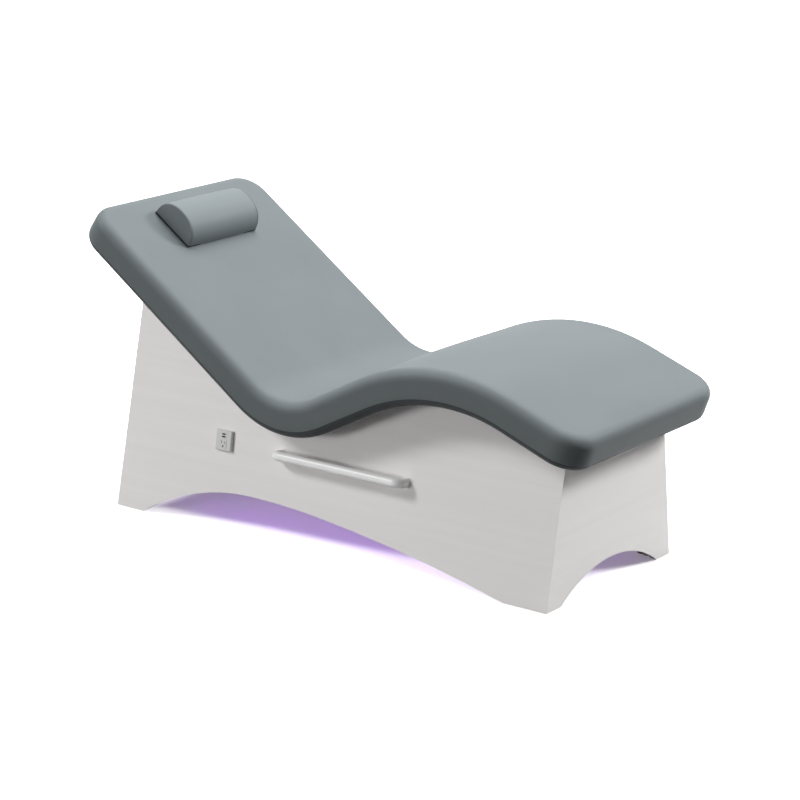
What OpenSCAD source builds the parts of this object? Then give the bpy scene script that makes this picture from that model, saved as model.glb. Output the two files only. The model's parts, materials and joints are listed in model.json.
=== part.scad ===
// Spa relaxation lounger: a wave-shaped padded bed on a splayed base of four arched panels.
// Millimetres. +X runs to the foot end, +Z is up, the user's right side is -Y.
// The origin is on the floor, on the centreline, halfway along the lounger.

/* [Pad wave] */
// width of the pad
pad_w = 710; // [640:1:800]
// thickness of the upholstered pad, square to the wave
pad_t = 102; // [80:1:120]
// height of the seat hollow's underside above the floor
seat_h = 338.7; // [320:0.1:360]
// slope of the backrest
back_angle = 35.3; // [30:0.1:38]
// straight length of the backrest
back_len = 727; // [680:1:760]
// radius of the seat hollow at the underside
seat_r = 295; // [260:1:340]
// slope of the rise under the thighs
thigh_angle = 27.1; // [24:0.1:30]
// straight length under the thighs
thigh_len = 181; // [150:1:210]
// radius of the knee crest at the underside
knee_r = 524; // [470:1:580]
// slope of the leg rest
leg_angle = 20.3; // [17:0.1:23]
// straight length of the leg rest
leg_len = 236; // [200:1:270]
// radius of the pad's corners seen from above
corner_r = 85; // [70:1:110]
// radius rolled over the top edge
roll_r = 32; // [24:1:38]
// radius rolled under the lower edge
edge_r = 26; // [20:1:30]
// rise of the top surface in the middle
crown = 4; // [2:0.5:8]

/* [Pad layers] */
// thickness of the vinyl cover with its wadding
cover_t = 2.5; // [2:0.1:4]
// width of cover turned under the deck and stapled, from the pad's edge
turn_in = 66; // [55:1:75]
// thickness of the soft foam on top of the firm core
topper_t = 40; // [36:1:50]
// thickness of the bent plywood deck
deck_t = 15; // [12:1:18]
// distance of the deck's edge from the pad's edge
deck_inset = 31; // [28:1:45]
// thickness of the cloth dust cover
dust_t = 1; // [0.6:0.1:1.5]
// clearance round each layer inside the cover
layer_fit = 0.2; // [0.1:0.05:0.4]

/* [Base panels] */
// width of the base at the floor
base_w = 609; // [560:1:650]
// distance of the base from the pad's head end, at the floor
head_setback = 87; // [60:1:120]
// distance of the base from the pad's foot end, at the floor
foot_setback = 94; // [60:1:120]
// panel thickness
panel_t = 18; // [15:1:25]
// inward lean of the side panels
side_lean_angle = 9; // [7:0.1:10]
// inward lean of the head panel
head_lean_angle = 3.4; // [2:0.1:5]
// outward lean of the foot panel
foot_lean_angle = 1.5; // [0:0.1:2.5]
// height of the panels' feet above the floor, carried by the glides
glide_reveal = 1.5; // [1:0.1:3]

/* [Foot arches] */
// height of the side arch
arch_h = 118; // [90:1:130]
// length of the side panel's foot at the head end
arch_head_foot = 100; // [80:1:130]
// length of the side panel's foot at the foot end
arch_foot_foot = 132; // [100:1:160]
// distance from the start of the side arch to its crown
arch_rise_run = 402; // [340:1:460]
// radius of the crown's falling side
arch_crown_r = 2400; // [2100:10:2700]
// slope at which the crown passes into the long tail
arch_tail_angle = 5.7; // [5:0.1:6.2]
// height of the end arches
end_arch_h = 77; // [60:1:90]
// length of the end panels' feet
end_arch_foot = 66; // [55:1:80]

/* [Inner frame] */
// side of the corner blocks
block_w = 46; // [40:1:60]
// height of the corner blocks
block_h = 205; // [160:1:220]
// width of the deck rails
rail_w = 28; // [24:1:36]
// depth of the deck rails under the deck
rail_d = 42; // [36:1:50]
// thickness of the cross ribs
rib_t = 18; // [15:1:22]
// height of the ribs' lower edge
rib_low = 168; // [150:1:190]
// place of the shoulder rib from the pad's head end
shoulder_x = 320; // [280:1:360]
// place of the lumbar rib
lumbar_x = 610; // [590:1:640]
// place of the seat rib
seat_x = 860; // [820:1:900]
// place of the knee rib
knee_x = 1290; // [1240:1:1340]
// clearance where ribs are notched over the rails
notch_fit = 0.3; // [0.2:0.1:1]

/* [Side bar] */
// length of the side bar
bar_len = 460; // [400:1:500]
// height of its nearly round section
bar_h = 27; // [24:0.5:32]
// depth of its nearly round section
bar_d = 25; // [20:0.5:30]
// clear gap between bar and panel
bar_gap = 23; // [20:1:30]
// radius of its bent ends, on the centreline
bar_bend_r = 20; // [16:1:26]
// place of the bar's middle from the pad's head end
bar_x = 903; // [880:1:940]
// height of the bar's middle
bar_z = 256; // [240:1:270]
// thickness of the end flanges
flange_t = 3; // [2:0.5:4]

/* [Power outlet] */
// side of the square outlet plate
plate_w = 59; // [56:1:66]
// thickness of the plate
plate_t = 10.5; // [8:0.5:13]
// bevel of the plate's rim
plate_bevel = 3; // [1:0.5:4]
// place of the outlet from the pad's head end
outlet_x = 478; // [440:1:500]
// height of the outlet
outlet_z = 259.5; // [245:0.5:275]
// side of the back box
box_w = 50; // [48:1:53]
// depth of the back box from the panel's outer face
box_d = 46; // [40:1:52]

/* [Light and wiring] */
// length of each LED profile
led_len = 1150; // [1000:10:1200]
// place of the LED profiles' middle from the pad's head end
led_x = 850; // [820:1:880]
// width of the LED profile
led_w = 17; // [15:1:20]
// depth of the LED profile
led_d = 9; // [8:0.5:12]
// height of the LED profiles
led_z = 140; // [136:1:150]
// length of the LED driver
driver_len = 150; // [120:1:180]
// height of the driver's case
driver_w = 42; // [36:1:50]
// depth of the driver's case
driver_d = 30; // [24:1:36]
// width of the inlet's flange
inlet_w = 50; // [48:1:52]
// height of the inlet's flange
inlet_h = 28; // [26:1:30]
// width of the cable duct
duct_w = 16; // [14:1:18]
// depth of the cable duct
duct_d = 10; // [8:1:12]

/* [Head bolster] */
// length of the bolster across the pad
bolster_len = 298; // [260:1:340]
// width of its flat side
bolster_w = 151; // [140:1:165]
// height of its half-round
bolster_h = 71; // [62:1:80]
// distance of its middle from the pad's head end
bolster_place = 153; // [140:1:200]
// thickness of its cover
bolster_skin = 2.5; // [2:0.1:3.5]
// thickness of its non-slip base
bolster_base_t = 3; // [2.5:0.1:4]
// gap between bolster and pad
bolster_gap = 0.3; // [0.2:0.05:0.5]

/* [Hidden] */
$fn = 28;

// one overrun for all through cuts
cut = 5;
// clearance of a screw in its hole
screw_fit = 0.1;
// clearance between the deck and what lies on either face of it
sheet_fit = 0.05;
// facets of each bend of the wave, of the rounded corners, across the pad, and of rolled edges
seat_steps = 10;
knee_steps = 8;
corner_steps = 4;
cross_steps = 4;
roll_steps = 3;
half_turn = 180;
right_turn = 90;
half_right = 45;

// wood screws: shank radius, head radius, head height
wood_screw_r = 2.5;
wood_head_r = 4.8;
wood_head_h = 3;
small_screw_r = 1.75;
small_head_r = 3.4;
small_head_h = 2;
block_screw_len = 34;
// shares of the block's height and width at which its screws lie, and of the panel that they bite
side_screw_shares = [0.3, 0.9];
end_screw_shares = [0.42, 0.8];
block_mid_share = 0.62;
bite_share = 0.7;
rail_screw_len = 36;
// depth of the rail screws' heads below the leaning face of the rail
rail_screw_sink = 1.2;
deck_screw_len = 50;
deck_screw_sink = 4;
small_screw_len = 14;

// side bar bolts
bolt_r = 3;
bolt_head_r = 5;
bolt_head_h = 3.2;
bolt_grip = 12;
bolt_spare = 1;
washer_r = 8;
washer_t = 1.6;
flange_lip = 4;

// outlet details
box_wall = 2;
box_ear_w = 12;
box_ear_t = 2;
socket_w = 24;
socket_h = 25;
socket_y = -10;
socket_deep = 26;
socket_proud = 0.8;
usb_w = 17;
usb_h = 16;
usb_y = 14.5;
usb_deep = 22;
usb_proud = 0.4;
insert_fit = 0.2;
port_w = 12;
port_h = 4.6;
port_pitch = 7.4;
port_deep = 14;
blade_w = 1.8;
blade_h = 7.5;
blade_pitch = 12.5;
blade_y = 4.5;
earth_r = 2.6;
earth_y = -6;
slot_deep = 16;

// light details
led_wall = 1.4;
strip_w = 10;
strip_t = 1;
diffuser_t = 1.2;
diffuser_fit = 0.1;
clip_len = 22;
clip_t = 1;
clip_fit = 0.1;
clip_count = 4;
driver_ear = 14;
driver_ear_w = 26;
driver_ear_t = 2;
driver_y = -60;
driver_hole_y = 7;

// mains inlet details
inlet_flange_t = 2.5;
inlet_body_w = 28;
inlet_body_h = 21;
inlet_body_d = 32;
inlet_well_w = 24;
inlet_well_h = 16.5;
inlet_well_d = 17;
pin_w = 2;
pin_h = 4;
pin_pitch = 7;
pin_long = 14;
inlet_screw_y = 20;

// glides
glide_r = 14;
glide_h = 5;
glide_in = 24;
nail_r = 1.5;
nail_len = 16;

// fullness of the bolster's half-round: 2 is a true ellipse
bolster_full_share = 2.25;
bolster_steps = 18;
bolster_rim = 5;
bolster_belly = 1.5;
// share of the rim at which its rounding is halfway
rim_share = 0.3;

function along(a) = [cos(a), sin(a)];
function above(a) = [-sin(a), cos(a)];

// horizontal run of the whole wave, and the two ends of the lounger along X
wave_run = back_len * cos(back_angle) + seat_r * (sin(back_angle) + sin(thigh_angle))
    + thigh_len * cos(thigh_angle) + knee_r * (sin(thigh_angle) + sin(leg_angle))
    + leg_len * cos(leg_angle);
end_lo = edge_r * (cos(back_angle) + sin(back_angle) - 1);
end_hi = wave_run - roll_r * cos(leg_angle) + (pad_t - roll_r) * sin(leg_angle) + roll_r;
x_head = -(end_lo + end_hi) / 2;

// joints of the wave's lines and arcs, on the underside; head_h is the height of its head end
head_h = seat_h + seat_r * (1 - cos(back_angle)) + back_len * sin(back_angle);
p_head = [x_head, head_h];
p_back = p_head + back_len * along(-back_angle);
c_seat = p_back + seat_r * above(-back_angle);
p_seat = c_seat - seat_r * above(thigh_angle);
p_thigh = p_seat + thigh_len * along(thigh_angle);
c_knee = p_thigh - knee_r * above(thigh_angle);
p_knee = c_knee + knee_r * above(-leg_angle);
p_foot = p_knee + leg_len * along(-leg_angle);

// the bends as [point, slope], from head to foot
bends = concat(
    [for (i = [0 : seat_steps])
        let (a = -back_angle + i * (back_angle + thigh_angle) / seat_steps)
        [c_seat - seat_r * above(a), a]],
    [for (i = [0 : knee_steps])
        let (a = thigh_angle - i * (thigh_angle + leg_angle) / knee_steps)
        [c_knee + knee_r * above(a), a]]);

// the wave raised by o square to itself, its ends drawn in by e
function wave(o, e = 0) = concat(
    [p_head + e * along(-back_angle) + o * above(-back_angle)],
    [for (b = bends) b[0] + o * above(b[1])],
    [p_foot - e * along(-leg_angle) + o * above(-leg_angle)]);
function flip(v) = [for (i = [len(v) - 1 : -1 : 0]) v[i]];

// the deck lies on the turned-in cover, and the base reaches up to the dust cover
deck_o = cover_t + sheet_fit;
base_o = cover_t - dust_t;

base_x0 = x_head + head_setback;
base_x1 = p_foot.x - foot_setback;
function half_w(z) = base_w / 2 - z * tan(side_lean_angle);
function head_face(z) = base_x0 + z * tan(head_lean_angle);
function foot_face(z) = base_x1 + z * tan(foot_lean_angle);
side_in = panel_t / cos(side_lean_angle);
head_in = panel_t / cos(head_lean_angle);
foot_in = panel_t / cos(foot_lean_angle);

module color_laminate() color([0.80, 0.79, 0.78]) children();
module color_ply() color([0.76, 0.62, 0.42]) children();
module color_vinyl() color([0.60, 0.63, 0.64]) children();
module color_foam() color([0.93, 0.88, 0.70]) children();
module color_steel() color([0.55, 0.56, 0.58]) children();
module color_white() color([0.93, 0.93, 0.93]) children();
module color_dark() color([0.15, 0.16, 0.17]) children();

// an outline in X and Z, drawn out across the width
module across(w) rotate([right_turn, 0, 0]) linear_extrude(w, center = true) children();
// an outline in Y and Z, drawn out along the base
module lengthwise() translate([x_head, 0, 0]) rotate([right_turn, 0, right_turn])
    linear_extrude(wave_run) children();

module below_wave(o) polygon(concat(wave(o), [[p_foot.x, -cut], [p_head.x, -cut]]));
module wave_band(lo, hi, e = 0) polygon(concat(wave(lo, e), flip(wave(hi, e))));

module long_outline(t, low) polygon([
    [head_face(low) + t * head_in / panel_t, low], [foot_face(low) - t * foot_in / panel_t, low],
    [foot_face(head_h) - t * foot_in / panel_t, head_h],
    [head_face(head_h) + t * head_in / panel_t, head_h]]);
module cross_outline(t, low) polygon([
    [-half_w(low) + t * side_in / panel_t, low], [half_w(low) - t * side_in / panel_t, low],
    [half_w(head_h) - t * side_in / panel_t, head_h], [-half_w(head_h) + t * side_in / panel_t, head_h]]);

// the base as a solid block, its walls set in by t and its underside at low
module base_block(t, low) intersection() {
    across(pad_w) intersection() { below_wave(base_o); long_outline(t, low); }
    lengthwise() cross_outline(t, low);
}

// what lies on the end panel's side of a mitred corner; turn is 1 at the head and -1 at the foot
module mitre_zone(x, lean, turn) {
    k = sqrt(1 + pow(tan(side_lean_angle), 2) + pow(tan(lean), 2));
    translate([x, -half_w(0), 0]) rotate([-asin(tan(side_lean_angle) / k), lean, 0])
        rotate([0, 0, turn * half_right]) translate([-base_w, 0, -head_h])
            cube([base_w * 2, base_w * 2, head_h * 3]);
}
module head_zone() mitre_zone(base_x0, head_lean_angle, 1);
module foot_zone() mitre_zone(base_x1, foot_lean_angle, -1);

// side arch: a rising arc, the falling side of the crown, and a long flatter tail
arch_x0 = base_x0 + arch_head_foot;
arch_x1 = base_x1 - arch_foot_foot;
arch_top_x = arch_x0 + arch_rise_run;
rise_r = (pow(arch_rise_run, 2) + pow(arch_h, 2)) / (2 * arch_h);
rise_angle = asin(arch_rise_run / rise_r);
tail_from = [arch_top_x + arch_crown_r * sin(arch_tail_angle),
    arch_h - arch_crown_r * (1 - cos(arch_tail_angle))];
tail_chord = [arch_x1, 0] - tail_from;
tail_r = (tail_chord * tail_chord) / (2 * (tail_chord * -above(-arch_tail_angle)));
tail_turn = 2 * asin(norm(tail_chord) / (2 * tail_r));
rise_steps = 8;
crown_steps = 3;
tail_steps = 5;
arch_line = concat(
    [for (i = [0 : rise_steps]) let (a = rise_angle * (1 - i / rise_steps))
        [arch_top_x - rise_r * sin(a), arch_h - rise_r * (1 - cos(a))]],
    [for (i = [1 : crown_steps]) let (a = arch_tail_angle * i / crown_steps)
        [arch_top_x + arch_crown_r * sin(a), arch_h - arch_crown_r * (1 - cos(a))]],
    [for (i = [1 : tail_steps]) let (a = arch_tail_angle + tail_turn * i / tail_steps)
        tail_from + tail_r * (above(-arch_tail_angle) * -1 + above(-a))]);
module side_arch() polygon(concat([[arch_x0, -cut]], arch_line, [[arch_x1, -cut]]));

end_span = base_w / 2 - end_arch_foot;
end_arch_r = (pow(end_span, 2) + pow(end_arch_h, 2)) / (2 * end_arch_h);
module end_arch(x) translate([x, 0, end_arch_h - end_arch_r]) rotate([0, right_turn, 0])
    cylinder(r = end_arch_r, h = base_w / 2, center = true, $fn = 180);

// frames on the panels' faces: local Z points away from the panel
module on_right(x, z) translate([x_head + x, -half_w(z), z])
    rotate([right_turn - side_lean_angle, 0, 0]) children();
module in_right(x, z) translate([x_head + x, -half_w(z) + side_in, z])
    rotate([-right_turn - side_lean_angle, 0, 0]) children();
module on_head(y, z) translate([head_face(z), y, z])
    rotate([0, head_lean_angle - right_turn, 0]) children();
module both_sides() { children(); mirror([0, 1, 0]) children(); }
module mid_cube(x, y, z) translate([-x / 2, -y / 2, 0]) cube([x, y, z]);

// a screw with its head's underside at the origin, pointing up Z
module screw(r, l, head_r, head_t) {
    translate([0, 0, -head_t]) cylinder(r = head_r, h = head_t, $fn = 16);
    cylinder(r = r, h = l, $fn = 14);
}

// the two side panels and the two end panels, mitred at the corners
module side_panel() difference() {
    intersection() {
        base_block(0, glide_reveal);
        lengthwise() polygon([[-base_w, -cut], [-half_w(-cut) + side_in, -cut],
            [-half_w(head_h) + side_in, head_h], [-base_w, head_h]]);
    }
    across(base_w * 2) side_arch();
    head_zone();
    foot_zone();
    rail_screw_holes();
    block_screw_holes_side();
}

module side_panel_right() color_laminate() difference() {
    side_panel();
    on_right(outlet_x, outlet_z) translate([0, 0, -panel_t - cut])
        mid_cube(box_w + insert_fit, box_w + insert_fit, panel_t + cut * 2);
    at_bar_ends(-panel_t - cut) cylinder(r = bolt_r + screw_fit, h = panel_t + cut * 2, $fn = 16);
    on_right(outlet_x, outlet_z) outlet_screw_places() translate([0, 0, -cut])
        cylinder(r = small_screw_r + screw_fit, h = small_screw_len + cut, $fn = 16);
}
module side_panel_left() color_laminate() mirror([0, 1, 0]) side_panel();

module head_panel() color_laminate() difference() {
    intersection() {
        base_block(0, glide_reveal);
        across(pad_w) polygon([[x_head, -cut], [head_face(-cut) + head_in, -cut],
            [head_face(head_h) + head_in, head_h], [x_head, head_h]]);
        head_zone();
        mirror([0, 1, 0]) head_zone();
    }
    end_arch(base_x0);
    on_head(0, outlet_z) translate([0, 0, -panel_t - cut])
        mid_cube(inlet_body_h + insert_fit, inlet_body_w + insert_fit, panel_t + cut * 2);
    on_head(0, outlet_z) inlet_screw_places() translate([0, 0, -small_screw_len + inlet_flange_t])
        cylinder(r = small_screw_r + screw_fit, h = small_screw_len, $fn = 16);
    block_screw_holes_end();
}

module foot_panel() color_laminate() difference() {
    intersection() {
        base_block(0, glide_reveal);
        across(pad_w) polygon([[foot_face(-cut) - foot_in, -cut], [p_foot.x, -cut],
            [p_foot.x, head_h], [foot_face(head_h) - foot_in, head_h]]);
        foot_zone();
        mirror([0, 1, 0]) foot_zone();
    }
    end_arch(base_x1);
    block_screw_holes_end();
}

// the four inner corners at the floor, turned so that X and Y point inward
module at_corners() for (s = [-1, 1]) {
    translate([base_x0 + head_in, s * (half_w(0) - side_in), 0]) mirror([0, s > 0 ? 1 : 0, 0]) children();
    translate([base_x1 - foot_in, s * (half_w(0) - side_in), 0])
        mirror([0, s > 0 ? 1 : 0, 0]) mirror([1, 0, 0]) children();
}
module corner_blocks() color_ply() difference() {
    intersection() {
        base_block(panel_t, glide_h);
        at_corners() translate([-block_w, -block_w, 0]) cube([block_w * 2, block_w * 2, block_h]);
    }
    block_screw_holes_side();
    mirror([0, 1, 0]) block_screw_holes_side();
    block_screw_holes_end();
    at_corners() translate([glide_in, glide_in, 0])
        cylinder(r = nail_r + screw_fit, h = glide_h + nail_len, $fn = 14);
}

// screws run level from a deep hole in the block into the panel
bite = panel_t * bite_share;
block_mid = block_w * block_mid_share;
module side_block_screws() for (x = [base_x0 + head_in + block_mid, base_x1 - foot_in - block_mid])
    for (k = side_screw_shares) let (z = k * block_h)
        translate([x, -half_w(z) + side_in + block_screw_len - bite, z])
            rotate([right_turn, 0, 0]) children();
module end_block_screws() for (s = [-1, 1]) for (k = end_screw_shares) let (z = k * block_h) {
    y = s * (half_w(z) - side_in - block_mid);
    translate([head_face(z) + head_in + block_screw_len - bite, y, z])
        rotate([0, -right_turn, 0]) children();
    translate([foot_face(z) - foot_in - block_screw_len + bite, y, z])
        rotate([0, right_turn, 0]) children();
}
module deep_hole(l, deep) {
    translate([0, 0, -deep]) cylinder(r = wood_head_r + screw_fit, h = deep, $fn = 16);
    cylinder(r = wood_screw_r + screw_fit, h = l, $fn = 14);
}
module block_screw_holes_side() side_block_screws() deep_hole(block_screw_len, block_w);
module block_screw_holes_end() end_block_screws() deep_hole(block_screw_len, block_w);
module wood_screw(l) screw(wood_screw_r, l, wood_head_r, wood_head_h);
module block_screws() color_steel() {
    both_sides() side_block_screws() wood_screw(block_screw_len);
    end_block_screws() wood_screw(block_screw_len);
}

module floor_glides() color_dark() difference() {
    at_corners() translate([glide_in, glide_in, 0]) cylinder(r = glide_r, h = glide_h);
    at_corners() translate([glide_in, glide_in, -cut])
        cylinder(r = nail_r + screw_fit, h = glide_h + cut * 2, $fn = 14);
}
module glide_nails() color_steel() at_corners() translate([glide_in, glide_in, glide_reveal])
    cylinder(r = nail_r, h = glide_h - glide_reveal + nail_len, $fn = 14);

// the strip along a side panel's inner face in which the deck rail lies
module rail_zone(grow) intersection() {
    across(pad_w) wave_band(base_o - rail_d - grow, base_o + cut);
    lengthwise() polygon([[-half_w(0), 0], [-half_w(0) + side_in + rail_w + grow, 0],
        [-half_w(head_h) + side_in + rail_w + grow, head_h], [-half_w(head_h), head_h]]);
}
module deck_rail() difference() {
    intersection() { base_block(panel_t, 0); rail_zone(0); }
    rail_screw_holes();
    deck_screw_holes();
}
module deck_rail_right() color_ply() deck_rail();
module deck_rail_left() color_ply() mirror([0, 1, 0]) deck_rail();

module rib(x) color_ply() difference() {
    intersection() {
        base_block(panel_t, rib_low);
        translate([x_head + x - rib_t / 2, -base_w / 2, 0]) cube([rib_t, base_w, head_h]);
    }
    both_sides() rail_zone(notch_fit);
}
module rib_shoulder() difference() { rib(shoulder_x); duct_side(notch_fit); }
module rib_lumbar() difference() {
    rib(lumbar_x);
    on_lumbar() driver_screw_places() translate([0, 0, -small_screw_len])
        cylinder(r = small_screw_r + screw_fit, h = small_screw_len, $fn = 14);
}
module rib_seat() rib(seat_x);
module rib_knee() rib(knee_x);

// shares of the straight lengths at which rails are screwed
back_screw_shares = [0.34, 0.62, 0.9];
leg_screw_shares = [0.08, 0.3];
thigh_screw_shares = [0.5];
screw_spots = concat(
    [for (s = back_screw_shares) [p_head + s * back_len * along(-back_angle), -back_angle]],
    [for (s = thigh_screw_shares) [p_seat + s * thigh_len * along(thigh_angle), thigh_angle]],
    [for (s = leg_screw_shares) [p_knee + s * leg_len * along(-leg_angle), -leg_angle]]);

// rail screws run level through the rail's middle into the side panel
module rail_screws_at() for (s = screw_spots) {
    p = s[0] + (base_o - rail_d / 2) * above(s[1]) + rail_d * along(s[1]);
    translate([p.x, -half_w(p.y) + side_in + rail_w - rail_screw_sink, p.y])
        rotate([right_turn, 0, 0]) children();
}
module rail_screw_holes() rail_screws_at() deep_hole(rail_screw_len, rail_screw_sink + cut);
module rail_screws() color_steel() both_sides() rail_screws_at() wood_screw(rail_screw_len);

// deck screws run square to the wave, up through the rail into the deck
module deck_screws_at() for (s = screw_spots) {
    p = s[0] + (base_o - rail_d) * above(s[1]);
    translate([p.x, -half_w(p.y + rail_d) + side_in + rail_w / 2 + wood_screw_r, p.y])
        rotate([0, -s[1], 0]) translate([0, 0, deck_screw_sink]) children();
}
module deck_screw_holes() deck_screws_at() deep_hole(deck_screw_len, deck_screw_sink + cut);
module deck_screws() color_steel() both_sides() deck_screws_at() wood_screw(deck_screw_len);

// a frame with X down the back, or up the leg rest, and Z square to the pad
module at_head_end() translate([p_head.x, 0, p_head.y]) rotate([0, back_angle, 0]) children();
module at_foot_end() translate([p_foot.x, 0, p_foot.y])
    rotate([0, leg_angle, 0]) mirror([1, 0, 0]) children();
module corner_waste(inset, r) translate([inset, -pad_w / 2 + inset, -pad_t / 2])
    linear_extrude(pad_t) polygon(concat([[-cut, -cut], [-cut, r]],
        [for (k = [0 : corner_steps]) let (a = right_turn * k / corner_steps)
            [r * (1 - cos(a)), r * (1 - sin(a))]],
        [[r, -cut]]));
module sheet(lo, hi, inset) difference() {
    across(pad_w - inset * 2) wave_band(lo, hi, inset);
    both_sides() {
        at_head_end() corner_waste(inset, corner_r - inset);
        at_foot_end() corner_waste(inset, corner_r - inset);
    }
}
module deck() color_ply() difference() {
    sheet(deck_o, deck_o + deck_t, deck_inset);
    both_sides() deck_screw_holes();
}
module dust_cover() color_dark() difference() {
    sheet(base_o, cover_t, turn_in + layer_fit);
    both_sides() deck_screw_holes();
}

// the pad's layers are closed lofts: each ring is the pad's outline, drawn in, at a height over the wave
function bend_count() = len(bends);
last_row = 2 * corner_steps + bend_count() + 1;
ring_count = 2 * (last_row + 1) + 2 * (cross_steps - 1);
function ring_r(d) = corner_r - d;
function corner_u(k, d) = d + ring_r(d) * (1 - cos(right_turn * k / corner_steps));
function corner_v(k, d) = pad_w / 2 - d - ring_r(d) * (1 - sin(right_turn * k / corner_steps));
// one row across the pad: [x, z, half width, slope]
function row(i, d, o) =
    i <= corner_steps ? let (p = p_head + corner_u(i, d) * along(-back_angle) + o * above(-back_angle))
        [p.x, p.y, corner_v(i, d), -back_angle]
    : last_row - i <= corner_steps ?
        let (k = last_row - i, p = p_foot - corner_u(k, d) * along(-leg_angle) + o * above(-leg_angle))
        [p.x, p.y, corner_v(k, d), -leg_angle]
    : let (b = bends[i - corner_steps - 1], p = b[0] + o * above(b[1])) [p.x, p.y, pad_w / 2 - d, b[1]];
function spot(r, j, lift) = let (s = 2 * j / cross_steps - 1,
    p = [r.x, r[1]] + lift * (1 - s * s) * above(r[3])) [p.x, s * r[2], p.y];
function ring(d, o) = let (rows = [for (i = [0 : last_row]) row(i, d, o)]) concat(
    [for (i = [0 : last_row]) spot(rows[i], 0, 0)],
    [for (j = [1 : cross_steps - 1]) spot(rows[last_row], j, 0)],
    [for (i = [last_row : -1 : 0]) spot(rows[i], cross_steps, 0)],
    [for (j = [cross_steps - 1 : -1 : 1]) spot(rows[0], j, 0)]);
function end_share(i) = let (k = min(i, last_row - i))
    k >= corner_steps ? 1 : sin(right_turn * k / corner_steps);
function inner(d, o, lift) = [for (i = [1 : last_row - 1]) let (r = row(i, d, o))
    for (j = [1 : cross_steps - 1]) spot(r, j, lift * end_share(i))];
// number of a point of a cap: on the ring's edge, or inside
function cap_id(i, j, first, inside) =
    j == 0 ? first + i
    : j == cross_steps ? first + last_row + cross_steps + last_row - i
    : i == last_row ? first + last_row + j
    : i == 0 ? first + 2 * last_row + 2 * cross_steps - j
    : inside + (i - 1) * (cross_steps - 1) + j - 1;
function tiles(a, b, c, d) = [[a, b, c], [a, c, d]];
module pad_form(steps, lift_0, lift_1) {
    n = len(steps);
    rings = [for (s = steps) each ring(s[0], s[1])];
    caps = concat(inner(steps[0][0], steps[0][1], lift_0), inner(steps[n - 1][0], steps[n - 1][1], lift_1));
    side = [for (k = [0 : n - 2]) for (m = [0 : ring_count - 1])
        let (q = (m + 1) % ring_count, a = k * ring_count)
        each tiles(a + m, a + ring_count + m, a + ring_count + q, a + q)];
    in_0 = n * ring_count;
    in_1 = in_0 + (last_row - 1) * (cross_steps - 1);
    top = (n - 1) * ring_count;
    cap_0 = [for (i = [0 : last_row - 1]) for (j = [0 : cross_steps - 1]) each tiles(
        cap_id(i, j, 0, in_0), cap_id(i + 1, j, 0, in_0),
        cap_id(i + 1, j + 1, 0, in_0), cap_id(i, j + 1, 0, in_0))];
    cap_1 = [for (i = [0 : last_row - 1]) for (j = [0 : cross_steps - 1]) each tiles(
        cap_id(i, j, top, in_1), cap_id(i, j + 1, top, in_1),
        cap_id(i + 1, j + 1, top, in_1), cap_id(i + 1, j, top, in_1))];
    polyhedron(points = concat(rings, caps), faces = concat(side, cap_0, cap_1));
}

// a rolled top edge and a rolled lower edge as [inset, height] steps, set in by t
function roll_step(a, t) = [roll_r - (roll_r - t) * cos(a), pad_t - roll_r + (roll_r - t) * sin(a)];
function edge_step(a, t) = [edge_r - (edge_r - t) * sin(a), edge_r - (edge_r - t) * cos(a)];
core_top = pad_t - topper_t;
soft_in = cover_t + layer_fit;

module pad_cover() color_vinyl() pad_form(concat(
    [roll_step(right_turn, cover_t), roll_step(half_right, cover_t), roll_step(0, cover_t)],
    [edge_step(right_turn, cover_t), edge_step(half_right, cover_t), edge_step(0, cover_t)],
    [[turn_in, cover_t], [turn_in, 0]],
    [for (i = [0 : roll_steps]) edge_step(right_turn * i / roll_steps, 0)],
    [for (i = [0 : roll_steps]) roll_step(right_turn * i / roll_steps, 0)]), crown, crown);
module pad_topper() color_foam() pad_form(
    [[soft_in, core_top], roll_step(0, soft_in), roll_step(half_right, soft_in),
        roll_step(right_turn, soft_in)], 0, crown);
deck_pocket = deck_inset - layer_fit;
module pad_core() color_foam() pad_form(
    [[deck_pocket, deck_o + deck_t + sheet_fit], [deck_pocket, deck_o], edge_step(0, soft_in),
        edge_step(half_right, soft_in), edge_step(right_turn, soft_in), [soft_in, core_top]], 0, 0);

// the bar's flat oval section, grown by g all round
module oval(g) {
    square([bar_d + g, bar_h - bar_d], center = true);
    for (s = [-1, 1]) translate([0, s * (bar_h - bar_d) / 2]) circle((bar_d + g) / 2, $fn = 20);
}
bar_out = bar_gap + bar_d / 2;
bar_half = (bar_len - bar_d) / 2;
module at_bar_ends(z) on_right(bar_x, bar_z) for (s = [-1, 1]) translate([s * bar_half, 0, z]) children();
module towel_bar() color_white() difference() {
    on_right(bar_x, bar_z) union() {
        translate([-bar_half + bar_bend_r, 0, bar_out]) rotate([0, right_turn, 0])
            linear_extrude((bar_half - bar_bend_r) * 2) oval(0);
        for (s = [0, 1]) mirror([s, 0, 0]) {
            translate([bar_half - bar_bend_r, 0, bar_out - bar_bend_r])
                rotate([-right_turn, 0, 0]) mirror([0, 1, 0])
                    rotate_extrude(angle = right_turn, $fn = 32) translate([bar_bend_r, 0]) oval(0);
            translate([bar_half, 0, flange_t]) linear_extrude(bar_out - bar_bend_r - flange_t) oval(0);
        }
    }
    at_bar_ends(0) cylinder(r = bolt_r + screw_fit, h = bolt_grip + flange_t, $fn = 16);
}
module bar_flanges() color_white() difference() {
    at_bar_ends(0) linear_extrude(flange_t) oval(flange_lip);
    at_bar_ends(-cut) cylinder(r = bolt_r + screw_fit, h = flange_t + cut * 2, $fn = 16);
}
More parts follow.
